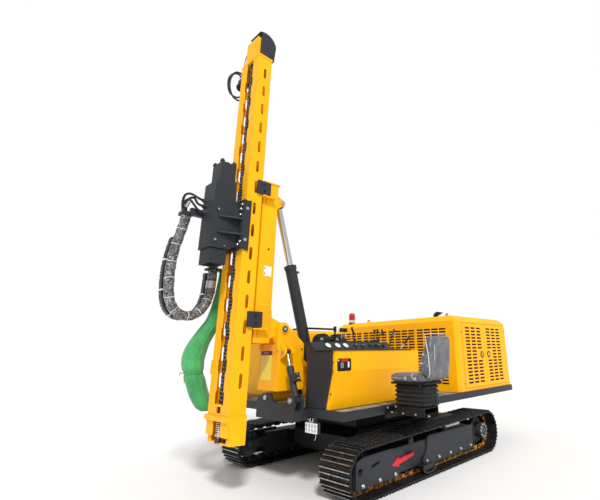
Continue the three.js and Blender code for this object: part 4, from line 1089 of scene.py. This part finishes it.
# ---- cylinders, box and guide beam ------------------------------------------------------------
def cylinder(name, base, head, barrel_long, bore, rod_radius, bodies, across, rod_from):
    """A hydraulic cylinder: barrel with gland, weld ring and port on one body, chromed rod on the other."""
    way = (head - base).normalized()
    long = (head - base).length
    at = lambda s: base + way * s
    side = way.cross(across).normalized()
    tube = Piece(name + "_tube")
    tube.rod(at(bore * 0.8), at(barrel_long - 0.05), bore, GREY, sides=40)
    tube.rod(at(barrel_long - 0.052), at(barrel_long), bore * 1.12, GREY, sides=40)
    tube.rod(at(barrel_long), at(barrel_long + 0.010), rod_radius * 1.4, RUBBER, rod_radius * 1.15, sides=32)
    tube.rod(base - across * bore * 0.86, base + across * bore * 0.86, bore * 0.95, GREY, sides=32)
    for s in (bore * 2.2, barrel_long - 0.10):
        tube.rod(at(s), at(s) + side * bore * 1.35, bore * 0.30, GREY, sides=20)
        tube.rod(at(s) + side * bore * 1.3, at(s) + side * bore * 1.75, bore * 0.26, ZINC, sides=6)
    barrel_made = tube.build(bodies[0], 0.0015)
    shaft = Piece(name + "_shaft")
    shaft.rod(at(rod_from), at(long - bore * 0.4), rod_radius, CHROME, sides=40)
    shaft.rod(head - across * bore * 0.8, head + across * bore * 0.8, bore * 0.88, GREY, sides=32)
    return barrel_made, shaft.build(bodies[1], 0.001)


TILT_BASE, TILT_HEAD = (0.446, -1.545, 0.854), (0.252, -1.545, 1.330)
RAISE_BASE, RAISE_HEAD = (0.0, -0.980, 1.020), (0.0, -1.610, 3.110)
FOLD_PIN = (-1.560, 1.578)       # y and z of the pin that the guide beam folds on
BOX_FRONT, BOX_HALF = -1.610, 0.190


def cylinders():
    """The tilt and raise cylinders, and the lock valve on the tilt cylinder."""
    for name, base, head, long, bore, rod_radius, across, rod_from in (
            ("tilt", TILT_BASE, TILT_HEAD, 0.350, 0.034, 0.017, Y, 0.19),
            ("raise", RAISE_BASE, RAISE_HEAD, 1.400, 0.068, 0.040, X, 0.93)):
        made = cylinder(name, spot(*base), spot(*head), long, bore, rod_radius,
                        (f"{name}_barrel", f"{name}_rod"), across, rod_from)
        for piece, half, slot in zip(made, ("barrel", "rod"), ("dark_grey_enamel", "chromed_rod")):
            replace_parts(piece, f"{name}_cylinder_{half}")
    valve = Piece("tilt_valve")
    base, way = spot(*TILT_BASE), (spot(*TILT_HEAD) - spot(*TILT_BASE)).normalized()
    side = Vector((-way.z, 0, way.x)) * -1
    low = base + way * 0.17 + side * 0.036
    corners = [low + Y * -0.032, low + side * 0.055 + Y * -0.032, low + side * 0.055 + Y * 0.032,
               low + Y * 0.032]
    valve.loft([corners, [c + way * 0.085 for c in corners]], GREY)
    for s in (0.02, 0.062):
        at = low + way * s + side * 0.055
        valve.rod(at, at + side * 0.022, 0.011, ZINC, sides=6)
        valve.rod(at + side * 0.02, at + side * 0.040, 0.008, BRASS if s < 0.05 else NYLON, sides=16)
    valve.build("tilt_barrel", 0.0015)


def tilt_box():
    """The box that the mast stands on, its label, pins and the bracket under it."""
    for node, material, width in (("tilt_box", YELLOW, 0.004), ("front_bracket", GREY, 0.004),
                                  ("tilt_bearing", GREY, 0.003)):
        softened(node, material, width)
    trim = Piece("box_trim")
    for x0, x1, z0, z1, lift, sink, material in ((-0.155, 0.060, 1.035, 1.300, 0.002, 0.0, LEMON),
                                                 (-0.155, 0.060, 1.300, 1.345, 0.003, 0.0, BLACK_PRINT),
                                                 (-0.090, -0.005, 1.308, 1.337, 0.0035, 0.001, RED)):
        trim.box((x0, BOX_FRONT - lift, z0), (x1, BOX_FRONT - sink, z1), material)
    for z in (1.02, 1.36):
        trim.bolt((BOX_HALF, -1.300, z), X, 0.016, GREY)
    trim.rod((BOX_HALF + 0.010, *FOLD_PIN), (BOX_HALF + 0.030, *FOLD_PIN), 0.034, IRON, sides=32)
    trim.bolt((BOX_HALF + 0.028, *FOLD_PIN), X, 0.026, ZINC)
    trim.rod((-BOX_HALF - 0.030, *FOLD_PIN), (-BOX_HALF - 0.010, *FOLD_PIN), 0.034, IRON, sides=32)
    for y in (-1.607, -1.483):
        trim.rod((TILT_HEAD[0], y, TILT_HEAD[2]), (TILT_HEAD[0], y - 0.010, TILT_HEAD[2]), 0.022, ZINC,
                 sides=24)
    trim.build("tilt_frame", 0.001)
    pins = Piece("bracket_pins")
    for x, z, radius, size in ((0, 0.862, 0.026, 0.022), (TILT_BASE[0], TILT_BASE[2], 0.030, 0.024)):
        pins.rod((x, -1.620, z), (x, -1.634, z), radius, ZINC, sides=28)
        pins.bolt((x, -1.632, z), -Y, size, ZINC)
    pins.build("chassis", 0.001)


def guide_beam():
    """The beam that the mast slides on, with its blocks, shelves and label."""
    softened("guide_beam", YELLOW, 0.004)
    for node in ("guide_block_upper", "guide_block_lower"):
        softened(node, GREY, 0.004)
    trim = Piece("guide_trim")
    outer = 0.2383
    for z in (3.085, 1.585):
        for sign in (-1, 1):
            for h in (0.042, 0.118):
                at = spot(sign * outer, -1.960, z + h)
                trim.rod(at, at + X * sign * 0.003, 0.017, NYLON, sides=20)
                trim.bolt(at, X * sign, 0.018, BLACK)
    side = 0.180
    trim.box((side, -1.862, 2.150), (side + 0.002, -1.765, 2.262), WHITE)
    for z in (2.165, 2.225):
        trim.box((side + 0.0015, -1.858, z), (side + 0.003, -1.845, z + 0.022), RED)
    # A very dark disc: painted shade of a hole in the beam's side.
    trim.rod((side, -1.818, 2.46), (side + 0.002, -1.818, 2.46), 0.012, HOLLOW_SHADE, sides=20)
    for sign in (-1, 1):
        trim.rod((sign * 0.090, RAISE_HEAD[1], RAISE_HEAD[2]), (sign * 0.104, RAISE_HEAD[1], RAISE_HEAD[2]),
                 0.030, ZINC, sides=28)
        for z in (1.560, 3.060):
            shelf = sorted((sign * 0.182, sign * 0.252))
            trim.box((shelf[0], -1.975, z), (shelf[1], -1.800, z + 0.014), YELLOW)
            trim.prism([(sign * 0.182, z - 0.085), (sign * 0.182, z + 0.001), (sign * 0.246, z + 0.001)],
                       lambda u, v, w: spot(u, w, v), (-1.895, -1.883), YELLOW)
    trim.build("guide", 0.0015)


# ---- mast -----------------------------------------------------------------------------------
MAST_FRONT, MAST_REAR, MAST_HALF = -2.160, -1.969, 0.206
CHAIN_PITCH, CHAIN_WIDE = 0.0381, 0.026


def roller_chain(piece, x, y, low, high, pitch, wide):
    """A roller chain hanging straight: side plates and rollers."""
    count = int((high - low) / pitch)
    plate = [(cos(t) * pitch * 0.36, sin(t) * pitch * 0.36) for t in turns(10)]
    for i in range(count):
        z = low + pitch * (i + 0.5)
        outer = i % 2
        for sign in (-1, 1):
            at = sign * (wide / 2 + (0.006 if outer else 0.001))
            outline = [(u, v + copysign(pitch * 0.42, v)) for u, v in plate]
            piece.prism(outline, lambda u, v, w: spot(x + w, y + u, z + v), sorted((at, at + sign * 0.004)),
                        IRON)
        reach = wide / 2 + 0.012
        piece.rod((x - reach, y, z - pitch / 2), (x + reach, y, z - pitch / 2), pitch * 0.24, RUBBED,
                  sides=10)


def mast():
    """The mast column, its foot and head, and the roller chain inside it."""
    for node, material, width in (("mast_column", YELLOW, 0.004), ("mast_foot", YELLOW, 0.005),
                                  ("mast_head", YELLOW, 0.004), ("mast_top_cover", GREY, 0.006),
                                  ("hose_bracket", GREY, 0.003)):
        softened(node, material, width)
    low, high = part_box("feed_chain")
    chain = Piece("roller_chain")
    roller_chain(chain, 0.0, MAST_FRONT + 0.029, low.z + 0.035, high.z, CHAIN_PITCH, CHAIN_WIDE)
    for z in (low.z + 0.015, high.z - 0.025):
        chain.rod((-0.05, -2.07, z), (0.05, -2.07, z), 0.018, IRON)
        chain.box((-0.036, MAST_FRONT + 0.03, z - 0.012), (0.036, MAST_REAR - 0.014, z + 0.012), BLACK)
    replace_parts(chain.build("mast", 0, "steel_parts"), "feed_chain")
    mast_foot_trim()
    mast_head_trim()


def mast_foot_trim():
    """Chain tensioner: spring, screw and nuts in the open foot, under a plate with a square window."""
    trim = Piece("chain_tensioner")
    centre = (0.0, -2.128)
    coil = [spot(centre[0] + 0.024 * cos(a), centre[1] + 0.024 * sin(a), 0.706 - 0.126 * a / (tau * 7))
            for a in (tau * 7 * i / 112 for i in range(113))]
    trim.tube(coil, 0.0055, ZINC, 8)
    trim.rod(spot(*centre, 0.745), spot(*centre, 0.480), 0.010, ZINC)
    for z in (0.498, 0.520, 0.560):
        trim.rod(spot(*centre, z), spot(*centre, z + 0.016), 0.034, ZINC if z > 0.55 else IRON, sides=6)
    trim.bolt((0.075, -2.100, 0.512), -Y, 0.030, IRON)
    front, back = MAST_FRONT, MAST_FRONT + 0.008
    for (x0, z0), (x1, z1) in (((-0.074, 0.746), (0.074, 0.766)), ((-0.074, 0.824), (0.074, 0.846)),
                               ((-0.074, 0.766), (-0.036, 0.824)), ((0.054, 0.766), (0.074, 0.824))):
        trim.box((x0, front, z0), (x1, back, z1), YELLOW)
    # A very dark sheet behind the window: painted shade of the foot's open inside.
    trim.box((-0.036, back + 0.010, 0.762), (0.054, back + 0.012, 0.828), HOLLOW_SHADE)
    trim.build("mast", 0.0008)
    stay = Piece("sleeve_stay")
    x = -MAST_HALF
    for z0, z1 in ((1.13, 1.144), (1.236, 1.25)):
        stay.box((x - 0.060, -2.130, z0), (x, -2.060, z1), YELLOW)
    stay.box((x - 0.072, -2.140, 1.12), (x - 0.058, -2.050, 1.26), YELLOW)
    stay.bolts((x - 0.072, -2.095, 1.15), (x - 0.072, -2.095, 1.23), 2, -X, 0.018, ZINC)
    stay.build("mast", 0.002)


def mast_head_trim():
    """The cable and its plugs beside the mast head, and the feed motor."""
    cable = Piece("head_cable")
    cable.tube(curve_through([spot(-0.150, -2.145, 4.900), spot(-0.165, -2.150, 4.990),
                              spot(-0.168, -2.150, 5.080), spot(-0.150, -2.140, 5.170),
                              spot(-0.120, -2.125, 5.230)]), 0.006, IRON, 8)
    cable.rod((-0.205, -2.120, 4.935), (-0.235, -2.120, 4.935), 0.030, BRASS, sides=24)
    cable.rod((-0.205, -2.120, 5.010), (-0.240, -2.120, 5.015), 0.018, NYLON, sides=16)
    cable.build("mast")
    feed_motor()


# Each hose of the feed motor, as offsets from the motor's foot on the mast's wall.
MOTOR_HOSES = (((-0.180, -0.015, 0.112), (-0.182, -0.02, 0.155), (-0.186, -0.04, 0.19),
                (-0.215, -0.10, 0.19), (-0.245, -0.15, 0.11), (-0.25, -0.15, -0.02), (-0.23, -0.12, -0.13),
                (-0.17, -0.07, -0.20), (-0.10, -0.03, -0.21), (-0.02, 0, -0.20)),
               ((-0.130, -0.015, 0.112), (-0.131, -0.02, 0.150), (-0.136, -0.05, 0.18),
                (-0.16, -0.11, 0.17), (-0.19, -0.15, 0.08), (-0.20, -0.15, -0.05), (-0.17, -0.12, -0.19),
                (-0.12, -0.07, -0.27), (-0.07, -0.03, -0.28), (-0.02, 0, -0.27)))


def feed_motor():
    """The motor on the mast's right wall that drives the chain, with its ports and two hoses."""
    low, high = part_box("feed_motor")
    foot = Vector((-MAST_HALF, (low.y + high.y) / 2 - ORIGIN.y, low.z + 0.08))
    at = lambda x, y=0.0, z=0.0: spot(*(foot + Vector((x, y, z))))
    motor = Piece("feed_motor_body")
    for start, stop, radius, end, material in (
            (0.0, -0.050, 0.080, None, IRON), (-0.048, -0.070, 0.066, 0.058, IRON),
            (-0.070, -0.205, 0.058, None, BLACK), (-0.205, -0.230, 0.050, 0.040, BLACK)):
        motor.rod(at(start), at(stop), radius, material, end, sides=40)
    motor.box(at(-0.200, -0.040, 0.040), at(-0.110, 0.040, 0.094), IRON)
    for turn in turns(6):
        motor.bolt(at(-0.050, 0.07 * cos(turn), 0.07 * sin(turn)), -X, 0.016, ZINC)
    for x in (-0.180, -0.130):
        motor.rod(at(x, -0.015, 0.094), at(x, -0.015, 0.125), 0.015, BRASS, sides=6)
        motor.rod(at(x, -0.015, 0.12), at(x, -0.015, 0.15), 0.011, BRASS)
    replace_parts(motor.build("mast", 0.0015, "black_enamel"), "feed_motor")
    for i, offsets in enumerate(MOTOR_HOSES):
        hose(f"motor_hose_{i + 1}", [foot + Vector(p) for p in offsets], 0.024, "mast", RUBBER)


# ---- hammer ---------------------------------------------------------------------------------
def hammer():
    """The hammer and its carriage, with their bolts and plugs."""
    for node in ("hammer_carriage", "hammer_housing", "hammer_body", "pile_cap"):
        softened(node, GREY, 0.005)
    trim = Piece("hammer_trim")
    half = 0.130
    for x in (-0.085, 0.085):
        for y in (-2.425, -2.285):
            trim.rod((x, y, 3.388), (x, y, 3.406), 0.026, GREY, sides=24)
            trim.bolt((x, y, 3.404), Z, 0.034, GREY)
    for y, z, size in ((-2.435, 2.800, 0.030), (-2.440, 2.462, 0.030), (-2.330, 2.415, 0.018)):
        trim.bolt((half, y, z), X, size, IRON)
        trim.rod((half, y, z), (half + size * 0.7, y, z), size * 0.34, ZINC, sides=12)
    for z in (2.480, 2.520, 2.560, 2.640, 2.700):
        trim.rod((-0.060, -2.492, z), (-0.060, -2.486, z), 0.008, BLACK, sides=12)
    plate = -2.1965
    for x, z in ((0.190, 2.905), (0.172, 2.855), (0.160, 2.450), (0.205, 2.475), (0.165, 2.790)):
        trim.bolt((x, plate, z), -Y, 0.026, ZINC)
    for z in (2.86, 2.50):
        trim.bolt((0.2283, -2.150, z), X, 0.026, ZINC)
    for y, z in ((-2.330, 2.330), (-2.400, 2.350), (-2.440, 2.260)):
        trim.rod((0.110, y, z), (0.1108, y, z), 0.009, BLACK, sides=16)
    trim.build("hammer", 0.0012)


def drag_chain():
    """Nylon chain that runs beside the hose bundle on the same bends, with pale clips."""
    beside = Vector((-0.104, -0.020, -0.012))
    route = [spot(*p) + beside for p in LOOP_ROUTE[1:-4]]
    line = curve_through(route, 16)
    even, left = [line[0]], 0.0
    for a, b in zip(line, line[1:]):
        left += (b - a).length
        if left >= 0.0075:
            even.append(b)
            left = 0.0

    def frame_at(i):
        """The point, the way along the line there, and the way out of its bend."""
        way = (even[min(i + 1, len(even) - 1)] - even[max(i - 1, 0)]).normalized()
        return even[i], way, way.cross(X).normalized()

    chain = Piece("drag_chain")
    section = ((-1, -0.7), (-0.8, -1), (0.8, -1), (1, -0.7), (1, 0.7), (0.8, 1), (-0.8, 1), (-1, 0.7))
    rings = []
    for i in range(len(even)):
        point, way, out = frame_at(i)
        joint = 0.90 if i % 6 == 5 else 1.0
        rings.append([point + X * u * 0.040 * joint + out * v * 0.028 * joint for u, v in section])
    chain.loft(rings, NYLON)
    for i in range(20, len(even) - 6, 24):
        point, way, out = frame_at(i)
        band = [[point + way * s + X * u * 0.045 + out * v * 0.033
                 for u, v in ((-1, -1), (1, -1), (1, 1), (-1, 1))] for s in (-0.008, 0.008)]
        chain.loft(band, WHITE)
    for i in range(8, len(even) - 6, 12):
        point, _, out = frame_at(i)
        for v in (-0.0285, 0.0285):
            chain.rod(point + out * v * 0.95, point + out * v * 1.08, 0.006, ZINC, sides=8)
    chain.build("loop")


def loop_head():
    """Above the clamp the bundle opens: hoses arch over to the hammer's ports, and one fitting stands up."""
    ports = Piece("hammer_ports")
    port_at = lambda i, y: (-0.090 + 0.012 * i, y, 2.940 - 0.070 * i)
    for i in range(3):
        ports.rod(port_at(i, -2.486), port_at(i, -2.516), 0.026, IRON, sides=6)
    ports.rod((-0.150, -2.570, 2.785), (-0.150, -2.570, 2.835), 0.030, BLACK, sides=24)
    ports.rod((-0.195, -2.668, 2.785), (-0.160, -2.650, 2.860), 0.013, RUBBER)
    ports.rod((-0.166, -2.653, 2.846), (-0.140, -2.642, 2.905), 0.019, ZINC, sides=20)
    for turn in (0.4, 2.0, 3.6, 5.2):
        ports.bolt((-0.175 + 0.050 * cos(turn), -2.640 + 0.050 * sin(turn), 2.790), Z, 0.016, ZINC)
    ports.build("hammer", 0.001)
    for i, (x, y, crown) in enumerate(((-0.212, -2.664, 3.000), (-0.216, -2.624, 2.962),
                                       (-0.176, -2.672, 2.915))):
        end = port_at(i, -2.516)
        hose(f"hammer_hose_{i + 1}",
             [(x, y, 2.7915), (x - 0.012, y - 0.004, 2.850), (x - 0.010, y - 0.012, crown - 0.080),
              (x + 0.030, y - 0.010, crown - 0.015), ((x + end[0]) / 2 + 0.01, y + 0.030, crown),
              (end[0] - 0.004, end[1] - 0.055, end[2] + 0.018), end], 0.026, "hammer", RUBBER, False)


# ---- green sleeve ---------------------------------------------------------------------------
SLEEVE_ROWS = ((2.2277, 0.042, -2.092, -0.300), (2.050, 0.054, -2.090, -0.315),
               (1.850, 0.066, -2.092, -0.355), (1.700, 0.082, -2.100, -0.400),
               (1.580, 0.098, -2.150, -0.425), (1.450, 0.112, -2.215, -0.445),
               (1.300, 0.120, -2.255, -0.455), (1.150, 0.116, -2.245, -0.450),
               (1.000, 0.106, -2.200, -0.430), (0.860, 0.094, -2.150, -0.405),
               (0.790, 0.080, -2.120, -0.390), (0.752, 0.050, -2.100, -0.385))
TIE_Z = 1.130


def sleeve():
    """A canvas wrapper tied round spare hoses, hanging in a full belly beside the mast."""
    spine = curve_through([spot(x, y, z) for z, r, y, x in SLEEVE_ROWS], 12)
    wide = curve_through([(r, 0, 0) for z, r, y, x in SLEEVE_ROWS], 12)
    sides = 56
    piece = Piece("canvas_sleeve")
    rows = []
    for point, r in zip(spine, wide):
        row = []
        tied = exp(-((point.z - TIE_Z) / 0.035) ** 2)
        for j in range(sides + 1):
            t = tau * j / sides * 1.02
            crease = (noise.noise(Vector((cos(t) * 2.2, sin(t) * 2.2, point.z * 3.0)))
                      + 0.6 * noise.noise(Vector((cos(t) * 5 + 7, sin(t) * 5, point.z * 9.0 + t))))
            size = r.x * (0.97 + 0.10 * crease) * (1 - 0.16 * tied) + (0.0015 if j == sides else 0)
            row.append(piece.mesh.verts.new(point + Vector((cos(t), sin(t), 0)) * size))
        rows.append(row)
    faces = [piece.mesh.faces.new((a[j], a[j + 1], b[j + 1], b[j])) for a, b in zip(rows, rows[1:])
             for j in range(sides)]
    piece.paint(faces, CANVAS, True)
    made = piece.build("mast", 0, "green_fabric", 180)
    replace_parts(made, "hose_sleeve")
    tie = Piece("sleeve_tie")
    middle = spot(-0.449, -2.243, TIE_Z)
    tie.hoop(middle, Z, 0.101, 0.004, CANVAS, 6, 32)
    for string in (((0.03, -0.097, 0), (0.045, -0.111, -0.03), (0.05, -0.106, -0.09)),
                   ((-0.03, -0.097, 0), (-0.06, -0.109, 0.01), (-0.085, -0.106, -0.02))):
        tie.tube(curve_through([middle + Vector(p) for p in string]), 0.004, CANVAS, 6)
    tie.build("mast")


# ---- the rest of the steelwork ----------------------------------------------------------------
def steelwork():
    """The parts that keep the shape of their solids."""
    for side in SIDES:
        softened(f"track_frame_{side}", GREY, 0.003)
        for node in ("idler", "sprocket"):
            softened(f"{node}_{side}", IRON, 0.0025, "steel_parts", 0.2)
    softened("carbody", BLACK, 0.006)
    softened("deck_frame", GREY, 0.004)
    softened("side_tank", YELLOW, 0.008)
    softened("engine_block", IRON, 0.012, "steel_parts")
    softened("tank_caps", BLACK, 0.004)


def floor():
    """The white floor, which is no part of the machine."""
    piece = Piece("floor")
    piece.box(Vector((-30, -30, -0.02)), Vector((30, 30, -0.0005)), floor_finish())
    made = piece.build("chassis")
    made.parent = None
    del made["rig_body"]


def floor_finish():
    """Seamless white paper, which keeps the machine's shadow."""
    return finish("white_paper", "F2F2F2", 0.9, 0.0, None, (30, 0.3, 0.1))


def sky():
    """Even pale light, with plain white behind the object."""
    world = bpy.data.worlds.new("studio")
    bpy.context.scene.world = world
    world.use_nodes = True
    tree = world.node_tree
    path = add_node(tree, "ShaderNodeLightPath")
    seen = add_node(tree, "ShaderNodeMath", {0: path.outputs["Is Camera Ray"],
                                             1: path.outputs["Is Transmission Ray"]}, operation="MAXIMUM")
    strength = add_node(tree, "ShaderNodeMapRange", {"Value": seen.outputs[0], "To Min": SKY_STRENGTH,
                                                     "To Max": 1.0})
    background = tree.nodes["Background"]
    background.inputs["Color"].default_value = (1, 1, 1, 1)
    tree.links.new(strength.outputs["Result"], background.inputs["Strength"])


camera()
lamps()
sky()
floor()
hose_bundle()
steelwork()
for name in SIDES:
    crawler_track(name)
    track_frame_trim(name)
    for half in DOORS:
        side_door(name, half)
deck_plates()
engine_house()
beacon_and_exhaust()
console()
control_levers()
seat()
work_light()
cylinders()
tilt_box()
guide_beam()
mast()
hammer()
drag_chain()
loop_head()
sleeve()
bpy.context.scene.view_settings.view_transform = "Standard"
